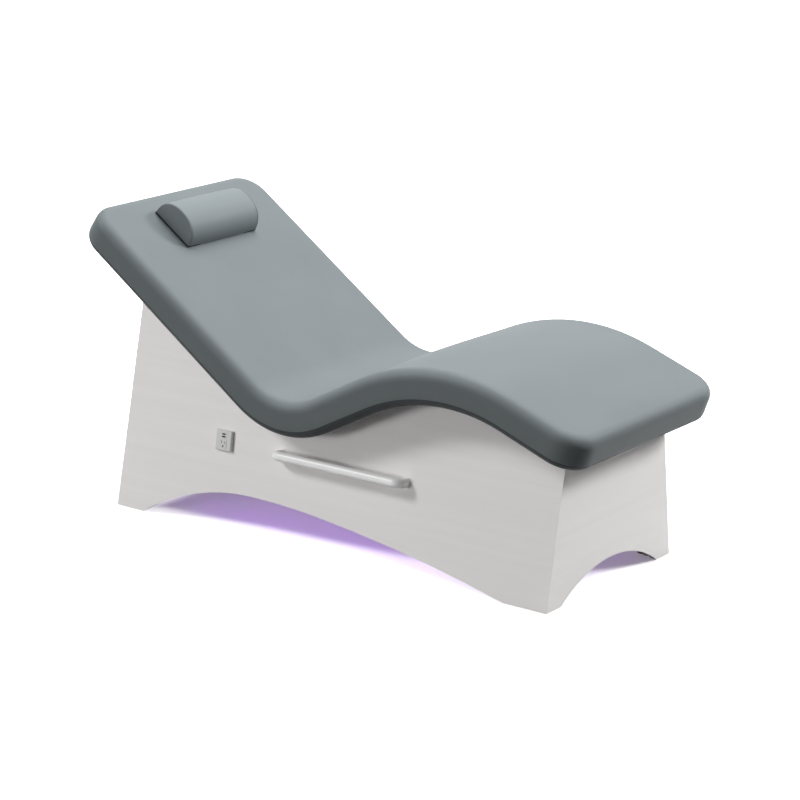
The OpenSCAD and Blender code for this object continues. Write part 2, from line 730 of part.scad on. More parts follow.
module bar_washers() color_steel() difference() {
    at_bar_ends(-panel_t - washer_t) cylinder(r = washer_r, h = washer_t);
    at_bar_ends(-panel_t - washer_t - cut)
        cylinder(r = bolt_r + screw_fit, h = washer_t + cut * 2, $fn = 16);
}
module bar_bolts() color_steel() at_bar_ends(-panel_t - washer_t)
    screw(bolt_r, washer_t + panel_t + flange_t + bolt_grip - bolt_spare, bolt_head_r, bolt_head_h);

// the outlet's plate lies on the right panel's face, and its box is behind the panel
module outlet_screw_places() for (s = [-1, 1])
    translate([0, s * (box_w + box_ear_w) / 2, -panel_t - box_ear_t]) children();
module outlet_plate() color_white() on_right(outlet_x, outlet_z) difference() {
    union() {
        mid_cube(plate_w, plate_w, plate_t - plate_bevel);
        translate([0, 0, plate_t - plate_bevel])
            linear_extrude(plate_bevel, scale = 1 - 2 * plate_bevel / plate_w)
                square(plate_w, center = true);
    }
    translate([0, socket_y, -cut])
        mid_cube(socket_w + insert_fit, socket_h + insert_fit, plate_t + cut * 2);
    translate([0, usb_y, -cut]) mid_cube(usb_w + insert_fit, usb_h + insert_fit, plate_t + cut * 2);
}
module receptacle() color_white() on_right(outlet_x, outlet_z)
    translate([0, socket_y, plate_t + socket_proud]) difference() {
        translate([0, 0, -socket_deep]) mid_cube(socket_w, socket_h, socket_deep);
        for (s = [-1, 1]) translate([s * blade_pitch / 2, blade_y, -slot_deep])
            mid_cube(blade_w, blade_h, slot_deep + cut);
        translate([0, earth_y, -slot_deep]) cylinder(r = earth_r, h = slot_deep + cut);
    }
module usb_module() color_dark() on_right(outlet_x, outlet_z)
    translate([0, usb_y, plate_t + usb_proud]) difference() {
        translate([0, 0, -usb_deep]) mid_cube(usb_w, usb_h, usb_deep);
        for (s = [-1, 1]) translate([0, s * port_pitch / 2, -port_deep])
            mid_cube(port_w, port_h, port_deep + cut);
    }
module outlet_box() color_steel() on_right(outlet_x, outlet_z) difference() {
    union() {
        translate([0, 0, -box_d]) mid_cube(box_w, box_w, box_d);
        translate([0, 0, -panel_t - box_ear_t]) mid_cube(box_w / 2, box_w + box_ear_w * 2, box_ear_t);
    }
    translate([0, 0, -box_d + box_wall]) mid_cube(box_w - box_wall * 2, box_w - box_wall * 2, box_d + cut);
    outlet_screw_places() translate([0, 0, -cut])
        cylinder(r = small_screw_r + screw_fit, h = box_ear_t + cut * 2, $fn = 16);
}
module outlet_screws() color_steel() on_right(outlet_x, outlet_z) outlet_screw_places()
    screw(small_screw_r, small_screw_len, small_head_r, small_head_h);

// the light is a profile on each side panel's inner face, above the arch
module led_frame() both_sides() in_right(led_x, led_z) children();
module led_clips() color_steel() led_frame() for (i = [0 : clip_count - 1])
    translate([(i / (clip_count - 1) - 1 / 2) * (led_len - clip_len * 2), 0, 0]) difference() {
        mid_cube(clip_len, led_w + (clip_t + clip_fit) * 2, clip_t + led_d / 2);
        translate([0, 0, clip_t]) mid_cube(clip_len + cut, led_w + clip_fit * 2, led_d);
    }
module led_profile() color_steel() led_frame() translate([0, 0, clip_t]) difference() {
    mid_cube(led_len, led_w, led_d);
    translate([0, 0, led_wall]) mid_cube(led_len + cut, led_w - led_wall * 2, led_d);
}
module led_strip() color_white() led_frame() translate([0, 0, clip_t + led_wall])
    mid_cube(led_len, strip_w, strip_t);
module led_diffuser() color_white() led_frame() translate([0, 0, clip_t + led_d - diffuser_t])
    mid_cube(led_len, led_w - (led_wall + diffuser_fit) * 2, diffuser_t);

// the driver is screwed to the lumbar rib's head-end face
module on_lumbar() translate([x_head + lumbar_x - rib_t / 2, driver_y, outlet_z])
    rotate([0, -right_turn, 0]) children();
module driver_screw_places() for (s = [-1, 1])
    translate([0, s * (driver_len / 2 + driver_hole_y), driver_ear_t]) children();
module led_driver() color_white() on_lumbar() difference() {
    union() {
        mid_cube(driver_w, driver_len, driver_d);
        mid_cube(driver_ear_w, driver_len + driver_ear * 2, driver_ear_t);
    }
    driver_screw_places() translate([0, 0, -cut])
        cylinder(r = small_screw_r + screw_fit, h = cut * 2, $fn = 16);
}
module driver_screws() color_steel() on_lumbar() driver_screw_places() mirror([0, 0, 1])
    screw(small_screw_r, small_screw_len, small_head_r, small_head_h);

// the mains inlet is in the head panel
module inlet_screw_places() for (s = [-1, 1]) translate([0, s * inlet_screw_y, 0]) children();
module power_inlet() color_dark() on_head(0, outlet_z) difference() {
    union() {
        mid_cube(inlet_h, inlet_w, inlet_flange_t);
        translate([0, 0, -inlet_body_d]) mid_cube(inlet_body_h, inlet_body_w, inlet_body_d);
    }
    difference() {
        translate([0, 0, inlet_flange_t - inlet_well_d])
            mid_cube(inlet_well_h, inlet_well_w, inlet_well_d + cut);
        for (s = [-1, 0, 1])
            translate([s == 0 ? pin_h / 2 : -pin_h / 2, s * pin_pitch, inlet_flange_t - inlet_well_d])
                mid_cube(pin_h, pin_w, pin_long);
    }
    inlet_screw_places() translate([0, 0, -cut])
        cylinder(r = small_screw_r + screw_fit, h = cut * 2, $fn = 16);
}
module inlet_screws() color_steel() on_head(0, outlet_z) inlet_screw_places()
    translate([0, 0, inlet_flange_t]) mirror([0, 0, 1])
        screw(small_screw_r, small_screw_len, small_head_r, small_head_h);

// the duct runs from the inlet round the corner and along the right panel to the back box,
// and on to the driver
module duct_height(grow) translate([x_head, -base_w / 2, outlet_z - duct_w / 2 - grow])
    cube([wave_run, base_w, duct_w + grow * 2]);
module duct_side(grow) intersection() {
    duct_height(grow);
    lengthwise() polygon([[-half_w(0), 0], [-half_w(0) + side_in + duct_d + grow, 0],
        [-half_w(head_h) + side_in + duct_d + grow, head_h], [-half_w(head_h), head_h]]);
}
module duct_head() intersection() {
    duct_height(0);
    across(base_w) polygon([[base_x0, 0], [base_x0 + head_in + duct_d, 0],
        [head_face(head_h) + head_in + duct_d, head_h], [head_face(head_h), head_h]]);
    translate([x_head, -base_w, 0]) cube([wave_run, base_w - inlet_body_w / 2 - insert_fit, head_h]);
}
module cable_duct() color_white() difference() {
    intersection() {
        base_block(panel_t, 0);
        union() {
            duct_head();
            intersection() {
                duct_side(0);
                translate([x_head, -base_w, 0]) cube([lumbar_x - rib_t / 2, base_w * 2, head_h]);
            }
            intersection() {
                duct_height(0);
                translate([x_head + lumbar_x - rib_t / 2 - duct_d, -base_w, 0])
                    cube([duct_d, base_w + driver_y - driver_len / 2 - driver_ear, head_h]);
            }
        }
    }
    translate([x_head + outlet_x - box_w / 2, -base_w, 0]) cube([box_w, base_w, head_h]);
}

// the bolster's frame lies on the pad's top with X down the back
module on_back() at_head_end() translate([bolster_place, 0, pad_t + crown + bolster_gap]) children();
// a half-round w wide and h high, its sides carried on to the height low
function dee(w, h, low) = let (e = 2 / bolster_full_share,
    over = [for (i = [1 : bolster_steps - 1]) let (a = half_turn * i / bolster_steps, c = cos(a))
        [w / 2 * sign(c) * pow(abs(c), e), h * pow(sin(a), e)]],
    foot = w / 2 - (w / 2 - over[0].x) * low / over[0].y) concat([[foot, low]], over, [[-foot, low]]);
// stations across the pad as [y, inset]
function bolster_stations(t) = let (l = bolster_len / 2 - t, near = bolster_rim * rim_share) [
    [-l, bolster_rim], [-l + near, near], [-l + bolster_rim * 2, 0], [0, -bolster_belly],
    [l - bolster_rim * 2, 0], [l - near, near], [l, bolster_rim]];
function bolster_half(t, s) = bolster_w / 2 - t - s[1];
module bolster_form(t, low) {
    st = bolster_stations(t);
    m = bolster_steps + 1;
    pts = [for (s = st) for (p = dee(2 * bolster_half(t, s), bolster_h - t - s[1], low)) [p.x, s[0], p.y]];
    side = [for (k = [0 : len(st) - 2]) for (i = [0 : m - 1]) let (q = (i + 1) % m)
        each tiles(k * m + i, k * m + q, (k + 1) * m + q, (k + 1) * m + i)];
    polyhedron(points = pts, faces = concat(side,
        [[for (i = [m - 1 : -1 : 0]) i], [for (i = [0 : m - 1]) (len(st) - 1) * m + i]]));
}
module bolster_cover() color_vinyl() on_back() difference() {
    bolster_form(0, 0);
    bolster_form(bolster_skin, -bolster_base_t);
}
module bolster_core() color_foam() on_back() bolster_form(bolster_skin + layer_fit, bolster_base_t);
module bolster_base() color_dark() on_back() linear_extrude(bolster_base_t) {
    t = bolster_skin + layer_fit * 2;
    st = bolster_stations(t);
    polygon(concat([for (s = st) [bolster_half(t, s), s[0]]],
        flip([for (s = st) [-bolster_half(t, s), s[0]]])));
}

side_panel_right();
side_panel_left();
head_panel();
foot_panel();
corner_blocks();
block_screws();
rib_shoulder();
rib_lumbar();
rib_seat();
rib_knee();
deck_rail_right();
deck_rail_left();
rail_screws();
deck();
deck_screws();
pad_core();
pad_topper();
pad_cover();
dust_cover();
floor_glides();
glide_nails();
outlet_plate();
receptacle();
usb_module();
outlet_box();
outlet_screws();
towel_bar();
bar_flanges();
bar_bolts();
bar_washers();
led_profile();
led_clips();
led_strip();
led_diffuser();
led_driver();
driver_screws();
power_inlet();
inlet_screws();
cable_duct();
bolster_cover();
bolster_core();
bolster_base();
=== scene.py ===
import json
import math

import bmesh
import bpy
import numpy as np
from bpy.props import FloatProperty, FloatVectorProperty, PointerProperty
from mathutils import Matrix, Vector


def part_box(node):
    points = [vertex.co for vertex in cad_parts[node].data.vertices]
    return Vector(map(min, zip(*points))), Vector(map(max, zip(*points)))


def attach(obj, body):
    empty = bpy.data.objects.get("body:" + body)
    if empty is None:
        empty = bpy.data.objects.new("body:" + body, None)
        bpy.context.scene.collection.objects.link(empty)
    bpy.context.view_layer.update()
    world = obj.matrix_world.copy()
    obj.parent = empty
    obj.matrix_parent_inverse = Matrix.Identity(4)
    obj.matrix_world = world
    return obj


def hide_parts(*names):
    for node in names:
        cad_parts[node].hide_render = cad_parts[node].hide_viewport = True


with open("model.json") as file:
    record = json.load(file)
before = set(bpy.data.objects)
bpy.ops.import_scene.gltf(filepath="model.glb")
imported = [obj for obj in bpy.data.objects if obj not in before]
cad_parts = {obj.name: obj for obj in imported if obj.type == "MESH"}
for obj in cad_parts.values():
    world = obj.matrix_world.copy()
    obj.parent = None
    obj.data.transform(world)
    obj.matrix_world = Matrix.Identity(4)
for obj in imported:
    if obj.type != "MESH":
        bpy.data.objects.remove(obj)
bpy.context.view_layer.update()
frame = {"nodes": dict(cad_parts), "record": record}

bl_info = {
    "name": "Spa relaxation lounger",
    "version": (1, 0, 0),
    "blender": (4, 5, 0),
    "location": "View3D > Sidebar > Lounger",
    "description": "Dresses the packed spa lounger with upholstery, laminate, fittings and its under-light",
    "category": "Object",
}

NODES = frame["nodes"]
RIGHT = math.pi / 2
# play between the deck's top and the foam above it
DECK_PLAY = 0.0001
# how dark or light some pieces are drawn beside the vinyl or the laminate that they are made of
# painted shade: the vinyl turned under the pad's lower roll is drawn darker, for the shade that falls there
UNDERSIDE_PAINTED_SHADE = 0.36
# painted light: the bolster's vinyl is drawn lighter than the pad's vinyl, a lit copy of the same material
BOLSTER_PAINTED_LIGHT = 1.15
# the dark band round the bolster's lower edge
EDGE_BAND_TONE = 0.12
# painted light: the head and foot panels' laminate is drawn lighter than the side panels', a lit copy of the
# same board
END_PANEL_PAINTED_LIGHT = 1.05
# angles above which an edge stays sharp
CREASE = math.radians(40)
ROLL_CREASE = math.radians(50)
THREAD_CREASE = math.radians(30)


# Colours, nodes and materials


def linear(hex_rgb):
    """Turns an sRGB hex colour into the linear values that Blender works in."""
    parts = [int(hex_rgb[i : i + 2], 16) / 255 for i in (0, 2, 4)]
    return tuple(p / 12.92 if p <= 0.04045 else ((p + 0.055) / 1.055) ** 2.4 for p in parts)


def per_mm(size_mm):
    """The texture scale that gives a pattern cells of this real size."""
    return 1000 / size_mm


def add(tree, kind, inputs=None, **settings):
    """Adds one shader node, with its settings and with its sockets set or linked."""
    node = tree.nodes.new("ShaderNode" + kind)
    for name, value in settings.items():
        setattr(node, name, value)
    for name, value in (inputs or {}).items():
        socket = node.inputs[name]
        if isinstance(value, bpy.types.NodeSocket):
            tree.links.new(value, socket)
        elif hasattr(value, "__len__") and socket.type == "RGBA":
            socket.default_value = (*value[:3], 1)
        else:
            socket.default_value = value
    return node


def new_material(name, roughness, metallic=0.0, **sockets):
    """Makes a material and gives back its node tree, its surface shader and object coordinates."""
    material = bpy.data.materials.new(name)
    material.use_nodes = True
    tree = material.node_tree
    shader = tree.nodes["Principled BSDF"]
    shader.inputs["Roughness"].default_value = roughness
    shader.inputs["Metallic"].default_value = metallic
    for key, value in sockets.items():
        shader.inputs[key.replace("_", " ").title().replace("Ior", "IOR")].default_value = value
    place = add(tree, "TexCoord").outputs["Object"]
    return material, tree, shader, place


def stretched(tree, place, scale, turn=(0, 0, 0)):
    """Object coordinates multiplied along each axis, for a pattern with a direction."""
    return add(tree, "Mapping", {"Vector": place, "Scale": scale, "Rotation": turn}).outputs[0]


def noise(tree, place, scale, detail=2.0, roughness=0.5):
    inputs = {"Vector": place, "Scale": scale, "Detail": detail, "Roughness": roughness}
    return add(tree, "TexNoise", inputs).outputs[0]


def between(tree, share, low, high):
    """A value that goes from low to high as share goes from 0 to 1."""
    return add(tree, "MapRange", {"Value": share, "To Min": low, "To Max": high}).outputs[0]


def mix_colours(tree, share, first, second):
    """The first colour at share 0 and the second at share 1."""
    return add(tree, "Mix", {0: share, 6: first, 7: second}, data_type="RGBA").outputs[2]


def calculate(tree, operation, first, second=0.0):
    return add(tree, "Math", {0: first, 1: second}, operation=operation).outputs[0]


def shade(colour, factor):
    return tuple(c * factor for c in colour[:3])


def bump(tree, shader, height, distance_mm, strength=1.0, under=None):
    inputs = {"Height": height, "Distance": distance_mm / 1000, "Strength": strength}
    if under is not None:
        inputs["Normal"] = under
    normal = add(tree, "Bump", inputs).outputs[0]
    tree.links.new(normal, shader.inputs["Normal"])
    return normal


def connect(tree, value, shader, socket):
    tree.links.new(value, shader.inputs[socket])


def tint(tree, shader, share, colour, low, high):
    """Colours a finish from low to high times its colour, as share goes from 0 to 1."""
    connect(tree, mix_colours(tree, share, shade(colour, low), shade(colour, high)), shader, "Base Color")


def roughen(tree, shader, share, low, high):
    """Varies a finish's roughness from low to high, as share goes from 0 to 1."""
    connect(tree, between(tree, share, low, high), shader, "Roughness")


def smooth_mask(tree, value, start, end):
    """0 below start, 1 above end, with a soft step between."""
    inputs = {"Value": value, "From Min": start, "From Max": end}
    return add(tree, "MapRange", inputs, interpolation_type="SMOOTHSTEP").outputs[0]


def axis_value(tree, vector, axis):
    return add(tree, "SeparateXYZ", {"Vector": vector}).outputs["XYZ".index(axis)]


def upholstery_vinyl(colour, name="upholstery_vinyl"):
    # PVC-coated fabric with an embossed pebble grain: a satin skin whose gloss shows at a glancing view.
    # The real pebble is about 0.8 mm across and is drawn at 2.6 mm, so that it shows from a step away.
    material, tree, shader, place = new_material(name, 0.5, specular_ior_level=0.06)
    cloud = noise(tree, place, per_mm(160), 3.0)
    tint(tree, shader, cloud, colour, 0.95, 1.05)
    cells = add(tree, "TexVoronoi", {"Vector": place, "Scale": per_mm(2.6)}, feature="SMOOTH_F1")
    pebble = cells.outputs[0]
    creases = noise(tree, place, per_mm(7), 4.0, 0.6)
    roughen(tree, shader, creases, 0.44, 0.56)
    pull = noise(tree, stretched(tree, place, (1.0, 0.35, 1.0)), per_mm(55), 1.0)
    slow = bump(tree, shader, pull, 0.5, 0.35)
    bump(tree, shader, pebble, 0.12, 0.5, slow)
    return material


def washed_laminate(colour, along, name):
    # Laminated board with a limed oak print, light pores and darker grain lines lying level round the base.
    # Grain lines are 2 to 4 mm apart and 200 to 400 mm long; the cut edges have a plain band of that tone.
    material, tree, shader, place = new_material(name, 0.5, specular_ior_level=0.4)
    long_way = (0.012, 1.0, 1.0) if along == "X" else (1.0, 0.012, 1.0)
    lined = stretched(tree, place, long_way)
    wobble = noise(tree, stretched(tree, place, (0.2, 0.2, 1.0)), per_mm(60), 2.0)
    rise = add(tree, "CombineXYZ", {"Z": between(tree, wobble, -0.004, 0.004)}).outputs[0]
    waved = add(tree, "VectorMath", {0: lined, 1: rise}, operation="ADD").outputs[0]
    fine = noise(tree, waved, per_mm(3.2), 4.0, 0.65)
    broad = noise(tree, waved, per_mm(26), 2.0)
    board = mix_colours(tree, smooth_mask(tree, fine, 0.42, 0.72), colour, shade(colour, 0.93))
    board = mix_colours(tree, smooth_mask(tree, broad, 0.35, 0.75), board, shade(colour, 1.03))
    board = mix_colours(tree, 0.5, board, mix_colours(tree, fine, shade(colour, 0.95), shade(colour, 1.04)))
    face = add(tree, "NewGeometry").outputs["True Normal"]
    down = smooth_mask(tree, axis_value(tree, face, "Z"), -0.55, -0.25)
    edge = shade(colour, 0.97)
    connect(tree, mix_colours(tree, down, edge, board), shader, "Base Color")
    roughen(tree, shader, fine, 0.46, 0.58)
    bump(tree, shader, fine, 0.06, 0.5)
    return material


def birch_plywood(colour):
    # Birch plywood: pale rotary-cut faces with long soft figure, and 1.4 mm layers along its cut edges.
    material, tree, shader, place = new_material("birch_plywood", 0.62, specular_ior_level=0.3)
    figure = noise(tree, stretched(tree, place, (0.08, 0.35, 1.0)), per_mm(22), 4.0, 0.6)
    face_tone = mix_colours(tree, figure, shade(colour, 0.84), shade(colour, 1.1))
    layers = {"Vector": place, "Scale": per_mm(17.6), "Distortion": 0.6}
    layer = add(tree, "TexWave", layers, bands_direction="X").outputs[1]
    edge_tone = mix_colours(tree, layer, shade(colour, 0.55), shade(colour, 1.05))
    face = add(tree, "NewGeometry").outputs["True Normal"]
    level = calculate(tree, "ABSOLUTE", axis_value(tree, face, "X"))
    board = mix_colours(tree, smooth_mask(tree, level, 0.3, 0.6), edge_tone, face_tone)
    connect(tree, board, shader, "Base Color")
    bump(tree, shader, figure, 0.1, 0.4)
    return material


def powder_coat(colour):
    # Steel tube under a baked powder coat: an even satin film with a faint orange peel of about 2 mm.
    material, tree, shader, place = new_material("powder_coat", 0.3, specular_ior_level=0.5)
    peel = noise(tree, place, per_mm(2.2), 1.0)
    tone = noise(tree, place, per_mm(90), 2.0)
    tint(tree, shader, tone, colour, 0.98, 1.02)
    roughen(tree, shader, peel, 0.26, 0.36)
    bump(tree, shader, peel, 0.04, 0.6)
    return material


def moulded_abs(colour, name, roughness=0.42):
    # Injection-moulded ABS with a fine spark-eroded texture of about 0.7 mm, drawn at 1 mm.
    material, tree, shader, place = new_material(name, roughness, specular_ior_level=0.5, ior=1.53)
    spark = noise(tree, place, per_mm(1.0), 2.0)
    tone = noise(tree, place, per_mm(30), 2.0)
    tint(tree, shader, tone, colour, 0.96, 1.03)
    roughen(tree, shader, spark, roughness - 0.06, roughness + 0.08)
    bump(tree, shader, spark, 0.03, 0.5)
    return material


def zinc_steel(colour):
    # Zinc-plated steel, rolled and barrel-plated: a cool mottled metal with soft spangle about 5 mm across.
    material, tree, shader, place = new_material("zinc_steel", 0.34, 1.0)
    spangle = add(tree, "TexVoronoi", {"Vector": place, "Scale": per_mm(5)}).outputs[0]
    tint(tree, shader, spangle, colour, 0.82, 1.08)
    roughen(tree, shader, noise(tree, place, per_mm(3), 2.0), 0.26, 0.44)
    return material


def anodised_aluminium(colour):
    # Extruded aluminium, satin anodised: die lines run along the profile, 0.5 mm apart.
    material, tree, shader, place = new_material("anodised_aluminium", 0.36, 1.0)
    lines = noise(tree, stretched(tree, place, (0.01, 1.0, 1.0)), per_mm(0.9), 3.0)
    tint(tree, shader, lines, colour, 0.9, 1.06)
    roughen(tree, shader, lines, 0.28, 0.44)
    bump(tree, shader, lines, 0.02, 0.5)
    return material


def opal_acrylic(colour, glow, strength):
    # Co-extruded opal acrylic over the strip: it glows a little stronger over each lamp, 17 mm apart.
    material, tree, shader, place = new_material("opal_acrylic", 0.45, specular_ior_level=0.5)
    spots = add(tree, "TexWave", {"Vector": place, "Scale": per_mm(17 * 2 * math.pi)}, bands_direction="X")
    connect(tree, mix_colours(tree, spots.outputs[1], shade(glow, 0.85), glow), shader, "Emission Color")
    shader.inputs["Base Color"].default_value = (*colour[:3], 1)
    shader.inputs["Emission Strength"].default_value = strength
    return material


def spunbond_cloth(colour):
    # Black spunbond polypropylene: matt fibres in a grid of bonding points, 1.2 mm apart, drawn at 3 mm.
    material, tree, shader, place = new_material("spunbond_cloth", 0.9, specular_ior_level=0.2)
    fibre = noise(tree, stretched(tree, place, (1.0, 0.2, 1.0)), per_mm(2), 3.0)
    points = add(tree, "TexVoronoi", {"Vector": place, "Scale": per_mm(3), "Randomness": 0.1}).outputs[0]
    tint(tree, shader, fibre, colour, 0.7, 1.6)
    bump(tree, shader, points, 0.15, 0.6)
    return material


def grip_rubber(colour):
    # Natural rubber sheet with a pressed cloth texture of 1.5 mm, dull and slightly dusty.
    material, tree, shader, place = new_material("grip_rubber", 0.75, specular_ior_level=0.3)
    dust = noise(tree, place, per_mm(18), 3.0)
    weave = add(tree, "TexBrick", {"Vector": place, "Scale": per_mm(3)}).outputs["Fac"]
    tint(tree, shader, dust, colour, 1.0, 1.5)
    bump(tree, shader, weave, 0.1, 0.5)
    return material


def sewing_thread(colour):
    # Bonded polyester thread, 0.7 mm thick, with the slant of its three twisted plies.
    material, tree, shader, place = new_material("sewing_thread", 0.6, specular_ior_level=0.4)
    twist = add(tree, "TexWave", {"Vector": place, "Scale": per_mm(5)}, bands_direction="DIAGONAL").outputs[1]
    tint(tree, shader, twist, colour, 0.7, 1.15)
    bump(tree, shader, twist, 0.1, 0.6)
    return material


def brass_contact():
    # Bare brass contacts and pins, stamped and slightly dulled.
    if "brass_contact" in bpy.data.materials:
        return bpy.data.materials["brass_contact"]
    material, tree, shader, place = new_material("brass_contact", 0.3, 1.0)
    dull = noise(tree, place, per_mm(1.5), 2.0)
    connect(tree, mix_colours(tree, dull, linear("B08A4A"), linear("D9B878")), shader, "Base Color")
    roughen(tree, shader, dull, 0.22, 0.42)
    return material


# Meshes and frames


def make_piece(name, verts, faces, material, body, slot, replaces=(), sharp=None, second=None, marked=()):
    """Makes one piece in the part's frame, on its body; marked faces take the second finish."""
    mesh = bpy.data.meshes.new(name)
    mesh.from_pydata([tuple(v) for v in verts], [], faces)
    for i in marked:
        mesh.polygons[i].material_index = 1
    bm = bmesh.new()
    bm.from_mesh(mesh)
    bmesh.ops.remove_doubles(bm, verts=bm.verts, dist=1e-6)
    bmesh.ops.recalc_face_normals(bm, faces=bm.faces)
    bm.to_mesh(mesh)
    bm.free()
    marks = [polygon.material_index for polygon in mesh.polygons]
    piece = finish_piece(name, mesh, material, body, slot, replaces, sharp)
    if second:
        mesh.materials.append(second)
        mesh.polygons.foreach_set("material_index", marks)
    return piece


def new_object(name, data):
    made = bpy.data.objects.new(name, data)
    bpy.context.scene.collection.objects.link(made)
    return made


def finish_piece(name, mesh, material, body, slot, replaces=(), sharp=None):
    mesh.polygons.foreach_set("use_smooth", [True] * len(mesh.polygons))
    if sharp is not None:
        mesh.set_sharp_from_angle(angle=sharp)
    mesh.materials.clear()
    mesh.materials.append(material)
    piece = new_object(name, mesh)
    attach(piece, body)
    if replaces:
        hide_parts(*replaces)
    return piece


def dress(names, material):
    """Gives carried-over nodes their finish."""
    for name in names:
        mesh = NODES[name].data
        mesh.materials.clear()
        mesh.materials.append(material)


def eased(node, material, body, slot, radius):
    """A copy of a CAD node with its arrises rounded as the real piece's are, which takes the node's place."""
    bm = bmesh.new()
    bm.from_mesh(NODES[node].data)
    bmesh.ops.remove_doubles(bm, verts=bm.verts, dist=1e-6)
    bmesh.ops.dissolve_limit(bm, angle_limit=math.radians(1), verts=bm.verts, edges=bm.edges)
    arrises = [e for e in bm.edges if len(e.link_faces) == 2 and e.calc_face_angle() > math.radians(35)]
    bevel = {"offset": radius, "segments": 3, "profile": 0.5, "affect": "EDGES", "clamp_overlap": True}
    bmesh.ops.bevel(bm, geom=arrises, **bevel)
    mesh = bpy.data.meshes.new(node + "_eased")
    bm.to_mesh(mesh)
    bm.free()
    return finish_piece(node + "_eased", mesh, material, body, slot, (node,), CREASE)


def grid_faces(rows, columns, closed=False, first=0):
    """Quads between rows of points; closed joins the last column to the first."""
    span = columns if closed else columns - 1
    return [
        (first + r * columns + c, first + r * columns + (c + 1) % columns,
         first + (r + 1) * columns + (c + 1) % columns, first + (r + 1) * columns + c)
        for r in range(rows - 1) for c in range(span)
    ]


def joined(parts):
    """Joins lists of (verts, faces) into one."""
    verts, faces = [], []
    for part_verts, part_faces in parts:
        start = len(verts)
        verts += [Vector(v) for v in part_verts]
        faces += [tuple(start + i for i in face) for face in part_faces]
    return verts, faces


def placed(part, matrix):
    return [matrix @ Vector(v) for v in part[0]], part[1]


def loft(rings, capped=True):
    """A closed skin through rings of equal counts of points, with flat ends."""
    count = len(rings[0])
    verts = [v for ring in rings for v in ring]
    faces = grid_faces(len(rings), count, closed=True)
    if capped:
        faces.append(tuple(range(count)))
        faces.append(tuple((len(rings) - 1) * count + i for i in reversed(range(count))))
    return verts, faces


def rounded_outline(width, height, radius, steps):
    """A rectangle with rounded corners, as points round its middle."""
    points = []
    for turn, (sx, sy) in enumerate(((1, 1), (-1, 1), (-1, -1), (1, -1))):
        cx, cy = sx * (width / 2 - radius), sy * (height / 2 - radius)
        for k in range(steps + 1):
            a = (turn + k / steps) * RIGHT
            points.append((cx + radius * math.cos(a), cy + radius * math.sin(a)))
    return points


def level_ring(width, height, radius, steps, inset, z):
    """A rounded rectangle at one height, drawn in by inset."""
    outline = rounded_outline(width - 2 * inset, height - 2 * inset, max(radius - inset, 1e-5), steps)
    return [(x, y, z) for x, y in outline]


def rounded_block(width, height, low, high, radius, edge, steps=4, edge_steps=3):
    """A block with rounded corners and a rounded front edge, standing on low."""
    rings = [level_ring(width, height, radius, steps, 0, low)]
    for k in range(edge_steps + 1):
        a = k / edge_steps * RIGHT
        inset = edge * (1 - math.cos(a))
        rings.append(level_ring(width, height, radius, steps, inset, high - edge + edge * math.sin(a)))
    return loft(rings)


def liner(width, height, depth, wall, radius=0.0004, steps=3):
    """An open-fronted shell that lines a slot, with its mouth at height zero."""
    steps_down = ((0, -depth), (0, 0), (wall, 0), (wall, wall - depth))
    return loft([level_ring(width, height, radius, steps, *step) for step in steps_down])


def cross_screw(head, rise, shank, length, steps=32):
    """A pan-head screw with a cross recess and a thread of ridges, whose head stands on height zero."""
    def disc(radius, z):
        turns = (2 * math.pi * k / steps for k in range(steps))
        return [(radius * math.cos(a), radius * math.sin(a), z) for a in turns]

    def cross(arm, half, z):
        spots = []
        for k in range(16):
            x, y = ((arm, 0), (arm, half), (half, half), (half, arm))[k % 4]
            for _ in range(k // 4):
                x, y = -y, x
            spots.append(Vector((x, y, z)))
        return [v for a, b in zip(spots, spots[1:] + spots[:1]) for v in (a, (a + b) / 2)]

    rings = [disc(shank * 0.1, -length), disc(shank * 0.8, -length * 0.9)]
    for k in range(18):
        z = -length * (0.88 - 0.86 * k / 17)
        rings += [disc(shank * 0.82, z), disc(shank, z + length * 0.012)]
    rings += [disc(shank, 0), disc(head, 0), disc(head, rise * 0.35), disc(head * 0.93, rise * 0.7)]
    rings += [disc(head * 0.78, rise * 0.92), disc(head * 0.66, rise)]
    rings += [cross(head * 0.55, head * 0.12, rise), cross(head * 0.3, head * 0.07, rise * 0.1)]
    return loft(rings)


def along(angle):
    return Vector((math.cos(angle), 0, math.sin(angle)))


def above(angle):
    return Vector((-math.sin(angle), 0, math.cos(angle)))


class Wave:
    """The pad's underside, followed from the head end to the foot end."""

    def __init__(self, s):
        head_z = s.seat_height + s.seat_radius * (1 - math.cos(s.back_angle))
        head_z += s.back_length * math.sin(s.back_angle)
        # the head end's place comes from the frame: the rolled lower edge is what reaches furthest back
        reach = s.edge_radius * (math.cos(s.back_angle) + math.sin(s.back_angle) - 1)
        start = Vector((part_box("pad_cover")[0].x - reach, 0, head_z))
        self.pieces = []
        self.length = 0.0
        runs = (
            (s.back_length, -s.back_angle, -s.back_angle),
            (s.seat_radius * (s.back_angle + s.thigh_angle), -s.back_angle, s.thigh_angle),
            (s.thigh_length, s.thigh_angle, s.thigh_angle),
            (s.knee_radius * (s.thigh_angle + s.leg_angle), s.thigh_angle, -s.leg_angle),
            (s.leg_length, -s.leg_angle, -s.leg_angle),
        )
        for length, a, b in runs:
            self.pieces.append((self.length, length, a, b, start))
            if a == b:
                start = start + length * along(a)
            else:
                radius = length / (b - a)
                start = start + radius * above(a) - radius * above(b)
            self.length += length

    def at(self, distance, height=0.0):
        """The point at a distance along the wave and a height square to it, and the slope there."""
        piece = next((p for p in reversed(self.pieces) if distance >= p[0]), self.pieces[0])
        begin, length, a, b, start = piece
        run = distance - begin
        if a == b:
            point, slope = start + run * along(a), a
        else:
            radius = length / (b - a)
            slope = a + run / radius
            point = start + radius * above(a) - radius * above(slope)
        return point + height * above(slope), slope


